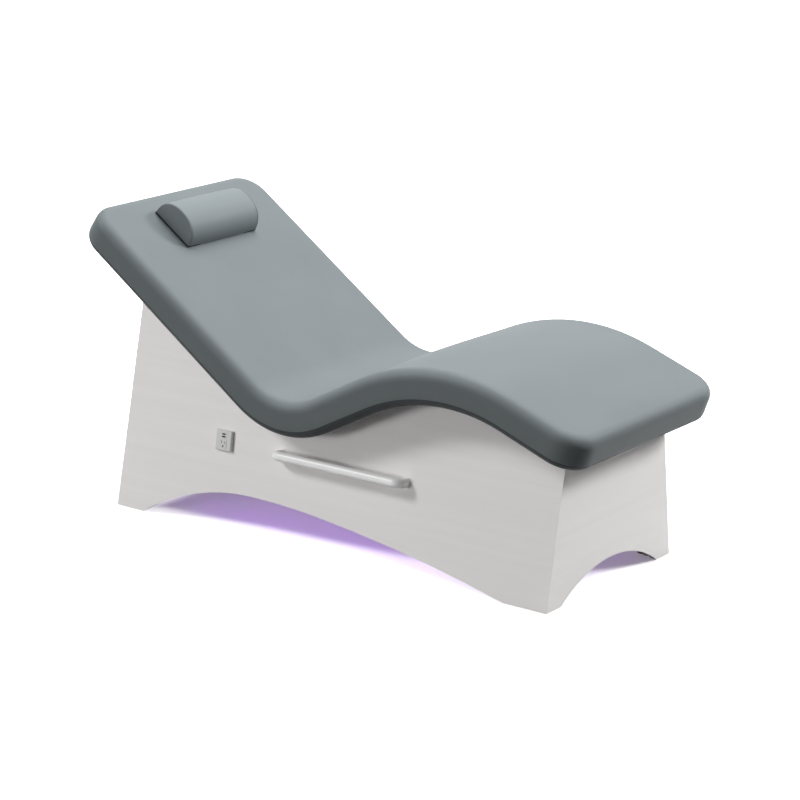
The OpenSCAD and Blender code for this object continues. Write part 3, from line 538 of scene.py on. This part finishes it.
class PadShape:
    """Rings and caps of the pad: its rounded outline, drawn in and raised, then bent along the wave."""

    def __init__(self, s, corner_steps=14, cross_steps=40, pitch=0.012):
        self.s, self.wave = s, Wave(s)
        self.corner_steps, self.cross_steps = corner_steps, cross_steps
        begin, end = s.corner_radius, self.wave.length - s.corner_radius
        count = int((end - begin) / pitch)
        self.stations = [begin + (end - begin) * i / count for i in range(1, count)]
        self.last = 2 * corner_steps + len(self.stations) + 1

    def row(self, i, inset):
        """Distance along the wave and half width of row i."""
        radius = self.s.corner_radius - inset
        k = min(i, self.last - i)
        if k > self.corner_steps:
            return self.stations[i - self.corner_steps - 1], self.s.pad_width / 2 - inset
        a = RIGHT * k / self.corner_steps
        distance = inset + radius * (1 - math.cos(a))
        half = self.s.pad_width / 2 - inset - radius * (1 - math.sin(a))
        return (distance if i <= self.last - i else self.wave.length - distance), half

    def spot(self, i, inset, height, share, lift=0.0):
        distance, half = self.row(i, inset)
        k = min(i, self.last - i)
        ease = 1.0 if k >= self.corner_steps else math.sin(RIGHT * k / self.corner_steps) ** 2
        point, slope = self.wave.at(distance, height + lift * ease * (1 - share * share) ** 2)
        return Vector((point.x, share * half, point.z))

    def ring(self, inset, height):
        n, c = self.last, self.cross_steps
        spots = [self.spot(i, inset, height, -1) for i in range(n + 1)]
        spots += [self.spot(n, inset, height, 2 * j / c - 1) for j in range(1, c)]
        spots += [self.spot(i, inset, height, 1) for i in range(n, -1, -1)]
        spots += [self.spot(0, inset, height, 2 * j / c - 1) for j in range(c - 1, 0, -1)]
        return spots

    def cap(self, inset, height, lift):
        n, c = self.last, self.cross_steps
        verts = [self.spot(i, inset, height, 2 * j / c - 1, lift) for i in range(n + 1) for j in range(c + 1)]
        return verts, grid_faces(n + 1, c + 1)


def rolled(radius, top, steps, upward):
    """Steps of a rolled edge as (inset, height): the lower one from below, or the upper one to the top."""
    turns = [RIGHT * k / steps for k in range(steps + 1)]
    if upward:
        return [(radius * (1 - math.cos(a)), top - radius + radius * math.sin(a)) for a in turns]
    return [(radius * (1 - math.sin(a)), radius * (1 - math.cos(a))) for a in turns]


def spaced(path, first, pitch):
    """Spots at even distances along a path, each with the path's direction there."""
    walked, goal = 0.0, first
    for a, b in zip(path, path[1:]):
        step = (b - a).length
        while goal < walked + step:
            yield a.lerp(b, (goal - walked) / step), (b - a).normalized()
            goal += pitch
        walked += step


def panel_frame(x, z, s, inner=False):
    """A frame on the right side panel's face at height z, whose Z points away from the panel."""
    y = -(s.base_width / 2 - z * math.tan(s.side_lean))
    turn = RIGHT - s.side_lean
    if inner:
        y += s.panel_thickness / math.cos(s.side_lean)
        turn = -RIGHT - s.side_lean
    return Matrix.Translation((x, y, z)) @ Matrix.Rotation(turn, 4, "X")


def middle(node):
    low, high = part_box(node)
    return (low + high) / 2


def factor(name, description, value):
    return FloatProperty(name=name, description=description, default=value)


def metres(name, description, value):
    return FloatProperty(name=name, description=description, default=value, unit="LENGTH", precision=4)


def degrees(name, description, value):
    return FloatProperty(name=name, description=description, default=math.radians(value), subtype="ANGLE")


def watts(name, description, value):
    return FloatProperty(name=name, description=description, default=value, unit="POWER")


def colour(name, description, hex_rgb):
    return FloatVectorProperty(name=name, description=description, default=linear(hex_rgb), subtype="COLOR")


class LoungerSizes(bpy.types.PropertyGroup):
    """Sizes of the lounger's dressed pieces"""

    pad_width: metres("Pad width", "Width of the pad", 0.710)
    pad_thickness: metres("Pad thickness", "Thickness of the pad, square to the wave", 0.102)
    seat_height: metres("Seat underside", "Height of the seat hollow's underside above the floor", 0.3387)
    back_angle: degrees("Back slope", "Slope of the backrest", 35.3)
    back_length: metres("Back length", "Straight length of the backrest", 0.727)
    seat_radius: metres("Seat radius", "Radius of the seat hollow at the underside", 0.295)
    thigh_angle: degrees("Thigh slope", "Slope of the rise under the thighs", 27.1)
    thigh_length: metres("Thigh length", "Straight length under the thighs", 0.181)
    knee_radius: metres("Knee radius", "Radius of the knee crest at the underside", 0.524)
    leg_angle: degrees("Leg slope", "Slope of the leg rest", 20.3)
    leg_length: metres("Leg length", "Straight length of the leg rest", 0.236)
    corner_radius: metres("Corner radius", "Radius of the pad's corners seen from above", 0.085)
    roll_radius: metres("Top roll", "Radius rolled over the top edge", 0.032)
    edge_radius: metres("Lower roll", "Radius rolled under the lower edge", 0.026)
    crown: metres("Crown", "Rise of the top surface in the middle", 0.004)
    cover_thickness: metres("Cover", "Thickness of the vinyl cover with its wadding", 0.0025)
    turn_in: metres("Turned-in width", "Cover turned under the deck", 0.066)
    deck_inset: metres("Deck inset", "Distance of the deck's edge from the pad's edge", 0.031)
    deck_thickness: metres("Deck", "Thickness of the plywood deck", 0.015)
    layer_fit: metres("Layer clearance", "Clearance round each layer inside the cover", 0.0002)
    base_width: metres("Base width", "Width of the base at the floor", 0.609)
    side_lean: degrees("Side lean", "Inward lean of the side panels", 9.0)
    panel_thickness: metres("Panel", "Panel thickness", 0.018)
    bolster_length: metres("Bolster length", "Length of the bolster across the pad", 0.298)
    bolster_width: metres("Bolster width", "Width of its flat side", 0.151)
    bolster_height: metres("Bolster height", "Height of its half-round", 0.071)
    bolster_place: metres("Bolster place", "Distance of its middle from the pad's head end", 0.153)
    bolster_gap: metres("Bolster gap", "Gap between bolster and pad", 0.0003)
    bolster_wall: metres("Bolster wall", "Thickness of its cover beside the base, with its clearance", 0.0028)
    bolster_pocket: metres("Bolster pocket", "Depth of the pocket that holds its base", 0.0031)
    bar_length: metres("Bar length", "Length of the side bar", 0.460)
    bar_height: metres("Bar height", "Height of its nearly round section", 0.027)
    bar_depth: metres("Bar depth", "Depth of its nearly round section", 0.025)
    bar_gap: metres("Bar gap", "Clear gap between bar and panel", 0.023)
    bar_bend: metres("Bar bend", "Radius of its bent ends, on the centreline", 0.020)
    flange_thickness: metres("Flange", "Thickness of the bar's end flanges", 0.003)
    plate_thickness: metres("Plate thickness", "Thickness of the outlet plate", 0.0105)
    plate_bevel: metres("Plate bevel", "Bevel of the outlet plate's rim", 0.003)
    socket_drop: metres("Socket drop", "Distance of the receptacle's middle below the plate's middle", 0.010)
    socket_proud: metres("Socket step", "Height of the receptacle above the plate", 0.0008)
    blade_pitch: metres("Blade pitch", "Distance between the two blade slots", 0.0125)
    blade_rise: metres("Blade rise", "Height of the blade slots above the receptacle's middle", 0.0045)
    earth_drop: metres("Earth drop", "Distance of the earth hole below the receptacle's middle", 0.006)
    usb_rise: metres("USB rise", "Height of the USB module's middle above the plate's middle", 0.0145)
    usb_proud: metres("USB step", "Height of the USB module above the plate", 0.0004)
    port_width: metres("Port width", "Width of each USB port", 0.012)
    port_height: metres("Port height", "Height of each USB port", 0.0046)
    port_pitch: metres("Port pitch", "Distance between the two USB ports", 0.0074)
    pin_pitch: metres("Pin pitch", "Distance between the inlet's pins across it", 0.007)
    inlet_screw_y: metres("Inlet screws", "Distance of the inlet's screws from its middle", 0.020)
    pin_rise: metres("Pin rise", "Height of the pins' middles above and below the inlet's middle", 0.002)
    well_depth: metres("Well depth", "Depth of the inlet's well", 0.017)
    staple_pitch: metres("Staple pitch", "Distance between the staples of the cover", 0.030)


class LoungerColours(bpy.types.PropertyGroup):
    """Colours of the lounger's finishes"""

    vinyl: colour("Vinyl", "Upholstery of the pad and the bolster", "666C6E")
    laminate: colour("Laminate", "Washed light-grey wood laminate of the base", "F4F1F0")
    plywood: colour("Plywood", "Inner frame and deck", "CBAF82")
    bar: colour("Bar paint", "Powder coat of the side bar", "F6F6F6")
    plate: colour("Outlet plastic", "Moulded plate and receptacle", "D2D2D0")
    white_plastic: colour("White plastic", "Driver case and cable duct", "E8E8E4")
    black_plastic: colour("Black plastic", "Inlet, module and glides", "232426")
    cloth: colour("Dust cloth", "Cloth under the deck", "1B1B1D")
    rubber: colour("Rubber", "Non-slip base of the bolster", "1E1F20")
    steel: colour("Steel", "Screws, nails and the back box", "B9BBBD")
    aluminium: colour("Aluminium", "Light profile", "D5D6D8")
    thread: colour("Thread", "Seams of the bolster", "4A5153")
    glow: colour("Glow", "Light of the LED strip", "AE4FFF")
    floor: colour("Floor", "Studio floor", "F4F4F4")


class StageSettings(bpy.types.PropertyGroup):
    """Camera and lights of the plain studio"""

    azimuth: degrees("Azimuth", "Direction from which the camera looks", 37.154)
    elevation: degrees("Elevation", "Height angle of the camera", 15.826)
    distance: metres("Distance", "Distance from the camera to the point it looks at", 7.213)
    aim_x: metres("Aim X", "Place along the lounger that the camera looks at", 0.0301)
    aim_z: metres("Aim Z", "Height that the camera looks at", 0.3904)
    lens: factor("Lens", "Focal length in mm on a 36 mm sensor", 115.6)
    sky: factor("Sky", "Strength of the even light from all round", 0.10)
    side_light: watts("Side light", "Power of the low soft light at the left front", 408)
    top_light: watts("Top light", "Power of the soft light overhead", 468)
    head_light: watts("Head light", "Power of the high soft light at the left front", 890)
    foot_light: watts("Foot light", "Power of the soft light at the right back", 1130)
    glow_strength: factor("Glow", "Strength of the LED strip's light", 14)
    floor_bounce: factor("Bounce", "Share of light that the floor gives back", 0.05)
    floor_lift: factor("Lift", "Light added to the floor where it is seen", 0.75)
    under_lift: factor("Lift below", "The same for the floor under the base", 0.20)
    lift_blend: metres("Lift blend", "Width over which the floor's lift starts at the base's foot", 0.07)
    lift_start: metres("Lift start", "Distance at which the floor starts to turn plain white", 1.1)
    lift_end: metres("Lift end", "Distance from which the floor is plain white", 2.8)
    floor_radius: metres("Floor radius", "Half the side of the studio floor", 60.0)


def settings(context):
    return context.scene.lounger_sizes, context.scene.lounger_colours, context.scene.lounger_stage


class LOUNGER_OT_pad(bpy.types.Operator):
    """Make the upholstered wave pad over its foam"""

    bl_idname = "lounger.pad"
    bl_label = "Wave pad"

    def execute(self, context):
        s, c, _ = settings(context)
        shape = PadShape(s)
        pocket = s.deck_inset - s.layer_fit
        floor = s.cover_thickness + s.deck_thickness + DECK_PLAY
        low = rolled(s.edge_radius, 0, steps=9, upward=False)
        high = rolled(s.roll_radius, s.pad_thickness, steps=12, upward=True)
        side_steps = 4
        flat = high[0][1] - low[-1][1]
        side = [(0.0, low[-1][1] + flat * k / side_steps) for k in range(1, side_steps)]
        under = s.cover_thickness
        steps = [(pocket, floor), (pocket, under), (s.turn_in, under), (s.turn_in, 0.0)]
        rings = [shape.ring(*step) for step in steps + low + side + high]
        verts, faces = joined([
            loft(rings, capped=False),
            shape.cap(pocket, floor, 0.0),
            shape.cap(s.roll_radius, s.pad_thickness, s.crown),
        ])
        vinyl = upholstery_vinyl(c.vinyl)
        # painted shade: the strip that is turned under is drawn darker, from the underside up to just below
        # the side's flat part
        strip = upholstery_vinyl(shade(c.vinyl, UNDERSIDE_PAINTED_SHADE), "underside_vinyl_painted_shade")
        first_row, end_row = len(steps) - 2, len(steps) + len(low) - 2
        turned = range(first_row * len(rings[0]), end_row * len(rings[0]))
        pad = make_piece("pad_upholstery", verts, faces, vinyl, "base", "vinyl",
                         ("pad_cover", "pad_topper", "pad_core"), ROLL_CREASE, strip, turned)
        return {"FINISHED"}


class LOUNGER_OT_bolster(bpy.types.Operator):
    """Make the half-round head bolster with its end seams and non-slip base"""

    bl_idname = "lounger.bolster"
    bl_label = "Head bolster"

    def execute(self, context):
        s, c, _ = settings(context)
        wave = Wave(s)
        origin, slope = wave.at(s.bolster_place, s.pad_thickness + s.crown + s.bolster_gap)
        frame_here = Matrix.Translation(origin) @ Matrix.Rotation(-slope, 4, "Y")
        # painted light: a lighter copy of the pad's vinyl
        vinyl = upholstery_vinyl(shade(c.vinyl, BOLSTER_PAINTED_LIGHT), "bolster_vinyl_painted_light")
        skin = placed(bolster_skin(s), frame_here)
        body = make_piece("bolster_upholstery", *skin, vinyl, "bolster", "vinyl",
                          ("bolster_cover", "bolster_core"), CREASE)
        thread = sewing_thread(c.thread)
        # the dark band round the bolster's lower edge
        edge_band = upholstery_vinyl(shade(c.vinyl, EDGE_BAND_TONE), "edge_band_vinyl")
        make_piece("bolster_edge_band", *placed(bolster_edge_band(s), frame_here), edge_band, "bolster", "vinyl")
        make_piece("bolster_stitches", *placed(bolster_stitches(s), frame_here), thread, "bolster", "vinyl")
        dress(["bolster_base"], grip_rubber(c.rubber))
        return {"FINISHED"}


def dee(s, inset, steps=44):
    """The bolster's half-round section as points from one lower corner over the top to the other."""
    full = 2 / 2.25
    half, high = s.bolster_width / 2 - inset, s.bolster_height - inset
    points = [(half, 0.0)]
    for i in range(1, steps):
        a = math.pi * i / steps
        c = math.cos(a)
        points.append((half * math.copysign(abs(c) ** full, c), high * math.sin(a) ** full))
    return points + [(-half, 0.0)]


def bolster_skin(s, end_rise=0.0012, end_inset=0.0013, full_depth=0.0076, belly=0.0015, core_share=0.42):
    """The sewn cover: a half-round with pillowed flat ends, a seam behind each rim and a pocket below."""
    end = s.bolster_length / 2

    def section(depth, inset, squeeze=1.0, hollow=False):
        half = s.bolster_width / 2 - inset - s.bolster_wall
        low = s.bolster_pocket if hollow else 0.0
        outline = dee(s, inset) + [(-half, 0.0), (-half, low), (half, low), (half, 0.0)]
        lift = (1 - squeeze) * s.bolster_height * core_share
        return [Vector((x * squeeze, depth - end, z * squeeze + lift)) for x, z in outline]

    # the end's middle stands a little proud of its rim
    half_rings = [section(end_rise * f * f, end_inset, f) for f in (0.02, 0.3, 0.55, 0.75, 0.9, 0.97)]
    # (depth, inset) over the rim, down into the seam and out to the full form
    rim = (
        (0.0013, 0.0012), (0.0015, 0.0006), (0.0020, 0.0002), (0.0027, 0.0001),
        (0.0033, 0.0004), (0.0038, 0.0013), (0.0042, 0.0016), (0.0046, 0.0013),
        (0.0051, 0.0005), (0.0058, 0.0001), (0.0075, 0.0),
    )
    half_rings += [section(*step) for step in rim]
    for k in range(6):
        share = k / 6
        depth = s.bolster_wall + full_depth + (end - s.bolster_wall - full_depth) * share
        bulge = belly * (1 - (1 - share) ** 2)
        if k == 0:
            half_rings.append(section(depth, 0.0))
        half_rings.append(section(depth, -bulge, hollow=True))
    middle_ring = [section(end, -belly, hollow=True)]
    mirrored = [[Vector((v.x, -v.y, v.z)) for v in ring] for ring in reversed(half_rings)]
    return loft(half_rings + middle_ring + mirrored)


def bolster_edge_band(s, low=0.0001, high=0.0036, proud=0.0007, rounding=0.0006, corner=0.002):
    """A dark band round the bolster's lower edge."""
    def ring(out, z):
        outline = rounded_outline(s.bolster_width + 2 * out, s.bolster_length + 2 * out, corner, 4)
        return [(x, y, z) for x, y in outline]

    rings = [ring(proud - rounding, low), ring(proud, low + rounding), ring(proud, high - rounding),
             ring(proud - rounding, high), ring(-proud, high), ring(-proud, low), ring(proud - rounding, low)]
    return loft(rings, capped=False)


def bolster_stitches(s, depth=0.0042, inset=0.0013, first=0.002, pitch=0.004):
    """Short stitches along the seam of each end."""
    parts = []
    for side in (-1, 1):
        path = [Vector((x, side * (s.bolster_length / 2 - depth), z)) for x, z in dee(s, inset, 120)]
        for spot, way in spaced(path, first, pitch):
            parts.append(stitch(spot, way, way.cross(Vector((0, -1, 0)))))
    return joined(parts)


def stitch(at, way, out, length=0.0028, radius=0.00035, arch=0.0003):
    """One stitch: a short arched strand."""
    side = way.cross(out)
    rings = []
    for k in range(5):
        share = k / 4 - 0.5
        middle_point = at + way * length * share + out * arch * (1 - 4 * share * share)
        size = radius * (0.4 if k in (0, 4) else 1.0)
        rings.append([middle_point + (side * math.cos(a) + out * math.sin(a)) * size
                      for a in (2 * math.pi * n / 6 for n in range(6))])
    return loft(rings)


class LOUNGER_OT_base(bpy.types.Operator):
    """Finish the base panels, the inner frame and the glides"""

    bl_idname = "lounger.base"
    bl_label = "Base and inner frame"

    def execute(self, context):
        s, c, _ = settings(context)
        side_board = washed_laminate(c.laminate, "X", "washed_laminate_side")
        # painted light: the end panels take a lighter copy of the side panels' laminate
        end_board_painted_light = washed_laminate(shade(c.laminate, END_PANEL_PAINTED_LIGHT), "Y", "washed_laminate_end_painted_light")
        dress(["side_panel_right", "side_panel_left"], side_board)
        dress(["head_panel", "foot_panel"], end_board_painted_light)
        frame_nodes = [n for n in NODES if n.startswith(("rib_", "deck_rail"))]
        dress(["corner_blocks", "deck", *frame_nodes], birch_plywood(c.plywood))
        steel = zinc_steel(c.steel)
        dress([n for n in NODES if n.endswith(("_screws", "_nails", "_bolts", "_washers"))], steel)
        dress(["outlet_box", "led_clips"], steel)
        dress(["dust_cover"], spunbond_cloth(c.cloth))
        dress(["floor_glides"], moulded_abs(c.black_plastic, "black_polyamide", 0.5))
        edge_margin, sunk, down = 0.012, 0.0003, Vector((0, 0, -1))
        ring = PadShape(s).ring(s.turn_in - edge_margin, -sunk)
        spots = spaced(ring + ring[:1], 0.0, s.staple_pitch)
        staples = [stitch(spot, way, down, length=0.010, radius=0.0005) for spot, way in spots]
        make_piece("cover_staples", *joined(staples), steel, "base", "zinc_steel")
        return {"FINISHED"}


def bar_skin(s):
    """The side bar as a swept, nearly round tube with two returned ends, in the panel's frame."""
    out = s.bar_gap + s.bar_depth / 2
    half = (s.bar_length - s.bar_depth) / 2
    bend_steps, half_steps = 14, 16
    turns = [RIGHT * k / bend_steps for k in range(bend_steps + 1)]
    left = [(Vector((-half, 0, s.flange_thickness)), 0.0)]
    for a in turns:
        spot = Vector((-half + s.bar_bend * (1 - math.cos(a)), 0, out - s.bar_bend * (1 - math.sin(a))))
        left.append((spot, a))
    straight = [(Vector((half * share, 0, out)), RIGHT) for share in (-0.6, -0.2, 0.2, 0.6)]
    right = [(Vector((-spot.x, 0, spot.z)), math.pi - a) for spot, a in reversed(left)]
    rings = []
    for spot, a in left + straight + right:
        across = Vector((-math.cos(a), 0, math.sin(a)))
        ring = []
        for sign, start in ((1, 0.0), (-1, math.pi)):
            for k in range(half_steps + 1):
                b = start + math.pi * k / half_steps
                rise = sign * (s.bar_height - s.bar_depth) / 2 + s.bar_depth / 2 * math.sin(b)
                ring.append(spot + across * (s.bar_depth / 2 * math.cos(b)) + Vector((0, rise, 0)))
        rings.append(ring)
    return loft(rings)


class LOUNGER_OT_side_bar(bpy.types.Operator):
    """Make the side bar and its flanges"""

    bl_idname = "lounger.side_bar"
    bl_label = "Side bar"

    def execute(self, context):
        s, c, _ = settings(context)
        paint = powder_coat(c.bar)
        centre = middle("bar_bolts")
        place = panel_frame(centre.x, bar_height_on_panel(s), s)
        make_piece("side_bar", *placed(bar_skin(s), place), paint, "base", "bar_paint",
                   ("towel_bar",), ROLL_CREASE)
        dress(["bar_flanges"], paint)
        return {"FINISHED"}


def bar_height_on_panel(s):
    """Height at which the bar's middle line meets the panel's outer face."""
    flange = middle("bar_flanges")
    out = s.flange_thickness / 2
    return flange.z - out * math.sin(s.side_lean)


class LOUNGER_OT_outlet(bpy.types.Operator):
    """Make the outlet plate, the receptacle and the USB module with their contacts, and dark liners as
    painted shade in their openings
    """

    bl_idname = "lounger.outlet"
    bl_label = "Power outlet"

    def execute(self, context):
        s, c, _ = settings(context)
        shell = moulded_abs(c.plate, "moulded_abs_plate", 0.36)
        for node, radius in (("outlet_plate", 0.0007), ("receptacle", 0.0005), ("usb_module", 0.0003)):
            eased(node, shell, "base", "grey_plastic", radius)
        plate = middle("outlet_plate")
        rise = (s.plate_thickness - s.plate_bevel) / 2 * math.sin(s.side_lean)
        place = panel_frame(plate.x, plate.z - rise, s)
        # the mouths of slots and ports lie this far below the faces round them
        slot_sunk, port_sunk = 0.0005, 0.0003
        face = s.plate_thickness + s.socket_proud - slot_sunk
        port_face = s.plate_thickness + s.usb_proud - port_sunk
        # painted shade: dark liners in the blade slots, the earth hole and the USB ports stand for the shade
        # deep in these openings
        blade_slot = liner(width=0.0018, height=0.0075, depth=0.0150, wall=0.00015)
        earth_hole = liner(width=0.0052, height=0.0052, depth=0.0150, wall=0.00015, radius=0.0025, steps=5)
        port = liner(width=s.port_width, height=s.port_height, depth=0.0132, wall=0.00025, radius=0.0006)
        blade = rounded_block(0.0012, 0.0066, low=-0.0145, high=-0.0060, radius=0.0003, edge=0.0003)
        tongue = rounded_block(0.0088, 0.0013, low=-0.0128, high=-0.0012, radius=0.0002, edge=0.0003)
        tongue_rise = Matrix.Translation((0, 0.0008, 0))
        slots, contacts, tongues = [], [], []
        for side in (-1, 1):
            spot = Matrix.Translation((side * s.blade_pitch / 2, s.blade_rise - s.socket_drop, face))
            slots.append(placed(blade_slot, spot))
            contacts.append(placed(blade, spot))
            spot = Matrix.Translation((0, s.usb_rise + side * s.port_pitch / 2, port_face))
            slots.append(placed(port, spot))
            tongues.append(placed(tongue, spot @ tongue_rise))
        spot = Matrix.Translation((0, -s.socket_drop - s.earth_drop, face))
        slots.append(placed(earth_hole, spot))
        # black for the USB tongues, and painted shade for the liners
        dark = moulded_abs(c.black_plastic, "moulded_abs_black_and_painted_shade", 0.5)
        for name, parts, finish, slot in (
            ("outlet_shade_liners", slots, dark, "black_plastic"),
            ("usb_tongues", tongues, dark, "black_plastic"),
            ("outlet_contacts", contacts, brass_contact(), "zinc_steel"),
        ):
            make_piece(name, *placed(joined(parts), place), finish, "base", slot, sharp=CREASE)
        return {"FINISHED"}


class LOUNGER_OT_under_light(bpy.types.Operator):
    """Finish the light profiles, the driver and the cable duct"""

    bl_idname = "lounger.under_light"
    bl_label = "Under-light"

    def execute(self, context):
        _, c, stage = settings(context)
        dress(["led_profile"], anodised_aluminium(c.aluminium))
        dress(["led_diffuser"], opal_acrylic(linear("E8E0F4"), c.glow, stage.glow_strength))
        white = moulded_abs(c.white_plastic, "moulded_pvc_white", 0.4)
        dress(["led_strip", "led_driver", "cable_duct"], white)
        return {"FINISHED"}


class LOUNGER_OT_inlet(bpy.types.Operator):
    """Finish the mains inlet at the head end, with its pins and its two screws"""

    bl_idname = "lounger.inlet"
    bl_label = "Mains inlet"

    def execute(self, context):
        s, c, _ = settings(context)
        moulding = moulded_abs(c.black_plastic, "moulded_polyamide_inlet", 0.45)
        eased("power_inlet", moulding, "base", "black_plastic", 0.0005)
        mount = next(m for m in frame["record"]["mounts"] if m["name"] == "mains_inlet")
        out = Vector(mount["axis"])
        up = Vector((0, 1, 0)).cross(out)
        place = Matrix.Translation(mount["pos_m"]) @ Matrix((up, (0, 1, 0), out)).transposed().to_4x4()
        pin = rounded_block(0.0042, 0.0022, low=0.0, high=0.0142, radius=0.0004, edge=0.0009)
        screw = cross_screw(head=0.0034, rise=0.0016, shank=0.0012, length=0.0140)
        pins, screws = [], []
        for k in (-1, 0, 1):
            rise = s.pin_rise if k == 0 else -s.pin_rise
            pins.append(placed(pin, Matrix.Translation((rise, k * s.pin_pitch, -s.well_depth))))
        for k in (-1, 1):
            screws.append(placed(screw, Matrix.Translation((0, k * s.inlet_screw_y, 0))))
        steel = bpy.data.materials["zinc_steel"]
        make_piece("inlet_pins", *placed(joined(pins), place), brass_contact(), "base", "zinc_steel",
                   sharp=CREASE)
        make_piece("inlet_cross_screws", *placed(joined(screws), place), steel, "base", "zinc_steel",
                   ("inlet_screws",), THREAD_CREASE)
        return {"FINISHED"}


class LOUNGER_OT_stage(bpy.types.Operator):
    """Set up the pale floor, the soft lights and the camera"""

    bl_idname = "lounger.stage"
    bl_label = "Stage"

    def execute(self, context):
        _, c, stage = settings(context)
        scene = context.scene
        scene.view_settings.view_transform = "Standard"
        self.sky(scene, stage)
        self.floor(c, stage)
        aim = Vector((stage.aim_x, 0, stage.aim_z))
        # name, place, size and power of each soft light
        for lamp in (
            ("soft_light_side", (-5.0, -12.2, 1.8), (3.3, 2.4), stage.side_light),
            ("soft_light_top", (0.3, 0.7, 5.4), (5.0, 3.0), stage.top_light),
            ("soft_light_head", (-8.0, -8.0, 9.1), (3.3, 3.3), stage.head_light),
            ("soft_light_foot", (6.9, 6.9, 6.4), (3.0, 3.0), stage.foot_light),
        ):
            self.soft_light(aim, *lamp)
        camera = new_object("camera", bpy.data.cameras.new("camera"))
        camera.data.sensor_width = 36
        camera.data.lens = stage.lens
        level = math.cos(stage.elevation)
        x, y = math.sin(stage.azimuth) * level, -math.cos(stage.azimuth) * level
        away = Vector((x, y, math.sin(stage.elevation)))
        camera.location = aim + stage.distance * away
        camera.rotation_euler = away.to_track_quat("Z", "Y").to_euler()
        scene.camera = camera
        return {"FINISHED"}

    def sky(self, scene, stage):
        """An even white sky: plain white where it is seen or mirrored, and dimmer as a light."""
        world = bpy.data.worlds.new("studio_sky")
        world.use_nodes = True
        tree = world.node_tree
        seen = self.seen(tree)
        back = tree.nodes["Background"]
        back.inputs["Color"].default_value = (1, 1, 1, 1)
        tree.links.new(between(tree, seen, stage.sky, 1.0), back.inputs["Strength"])
        scene.world = world

    def seen(self, tree):
        """1 for rays that show a surface to the camera, straight, mirrored or through glass."""
        path = add(tree, "LightPath").outputs
        either = calculate(tree, "MAXIMUM", path["Is Camera Ray"], path["Is Glossy Ray"])
        return calculate(tree, "MAXIMUM", either, path["Is Transmission Ray"])

    def floor(self, c, stage):
        """A pale vinyl studio floor, lifted to white where it is seen, which keeps the object's shadow."""
        material, tree, shader, place = new_material("studio_floor", 0.85, specular_ior_level=0.1)
        tone = noise(tree, place, per_mm(400), 2.0)
        pale = mix_colours(tree, tone, shade(c.floor, 0.97), shade(c.floor, 1.0))
        bounced = shade(c.floor, stage.floor_bounce)
        connect(tree, mix_colours(tree, self.seen(tree), bounced, pale), shader, "Base Color")
        shader.inputs["Emission Color"].default_value = (1, 1, 1, 1)
        away = add(tree, "VectorMath", {0: place}, operation="LENGTH").outputs["Value"]
        # The floor that the glow alone lights lies inside four lines, towards the foot, the head, the far and
        # the near side. Each is a direction outwards and how far a place reaches along it there. The slants
        # follow the edges at which the purple light ends.
        low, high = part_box("side_panel_right")
        foot_margin, head_margin, far_margin, near_reach = 0.171, 0.10, 0.02, 0.142
        edges = (
            ((1, -0.7, 0), high.x - foot_margin),
            ((-1, 0, 0), high.x - head_margin),
            ((0, 1, 0), -low.y - far_margin),
            ((0.1, -1, 0), near_reach),
        )
        near = 0.0
        for direction, reach in edges:
            out = add(tree, "VectorMath", {0: place, 1: direction}, operation="DOT_PRODUCT")
            past = smooth_mask(tree, out.outputs["Value"], reach, reach + stage.lift_blend)
            near = calculate(tree, "MAXIMUM", near, past)
        lift = between(tree, near, stage.under_lift, stage.floor_lift)
        far = smooth_mask(tree, away, stage.lift_start, stage.lift_end)
        lift = calculate(tree, "MAXIMUM", lift, far)
        connect(tree, calculate(tree, "MULTIPLY", self.seen(tree), lift), shader, "Emission Strength")
        r = stage.floor_radius
        mesh = bpy.data.meshes.new("studio_floor")
        mesh.from_pydata([(-r, -r, 0), (r, -r, 0), (r, r, 0), (-r, r, 0)], [], [(0, 1, 2, 3)])
        mesh.materials.append(material)
        floor = new_object("studio_floor", mesh)

    def soft_light(self, aim, name, place, size, power):
        light = bpy.data.lights.new(name, "AREA")
        light.shape = "RECTANGLE"
        light.size, light.size_y = size
        light.energy = power
        lamp = new_object(name, light)
        lamp.location = place
        lamp.rotation_euler = (Vector(place) - aim).to_track_quat("Z", "Y").to_euler()


OPERATORS = (
    LOUNGER_OT_pad,
    LOUNGER_OT_bolster,
    LOUNGER_OT_base,
    LOUNGER_OT_side_bar,
    LOUNGER_OT_outlet,
    LOUNGER_OT_under_light,
    LOUNGER_OT_inlet,
    LOUNGER_OT_stage,
)


class LOUNGER_PT_sidebar(bpy.types.Panel):
    """Lists the lounger's pieces"""

    bl_idname = "LOUNGER_PT_sidebar"
    bl_label = "Spa lounger"
    bl_space_type = "VIEW_3D"
    bl_region_type = "UI"
    bl_category = "Lounger"

    def draw(self, context):
        for operator in OPERATORS:
            self.layout.operator(operator.bl_idname)


GROUPS = {"lounger_sizes": LoungerSizes, "lounger_colours": LoungerColours, "lounger_stage": StageSettings}
CLASSES = (*GROUPS.values(), *OPERATORS, LOUNGER_PT_sidebar)


def register():
    for item in CLASSES:
        bpy.utils.register_class(item)
    for name, group in GROUPS.items():
        setattr(bpy.types.Scene, name, PointerProperty(type=group))


def unregister():
    for name in GROUPS:
        delattr(bpy.types.Scene, name)
    for item in reversed(CLASSES):
        bpy.utils.unregister_class(item)


def main():
    """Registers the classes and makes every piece."""
    register()
    for operator in OPERATORS:
        group, name = operator.bl_idname.split(".")
        getattr(getattr(bpy.ops, group), name)()


if __name__ == "__main__":
    main()
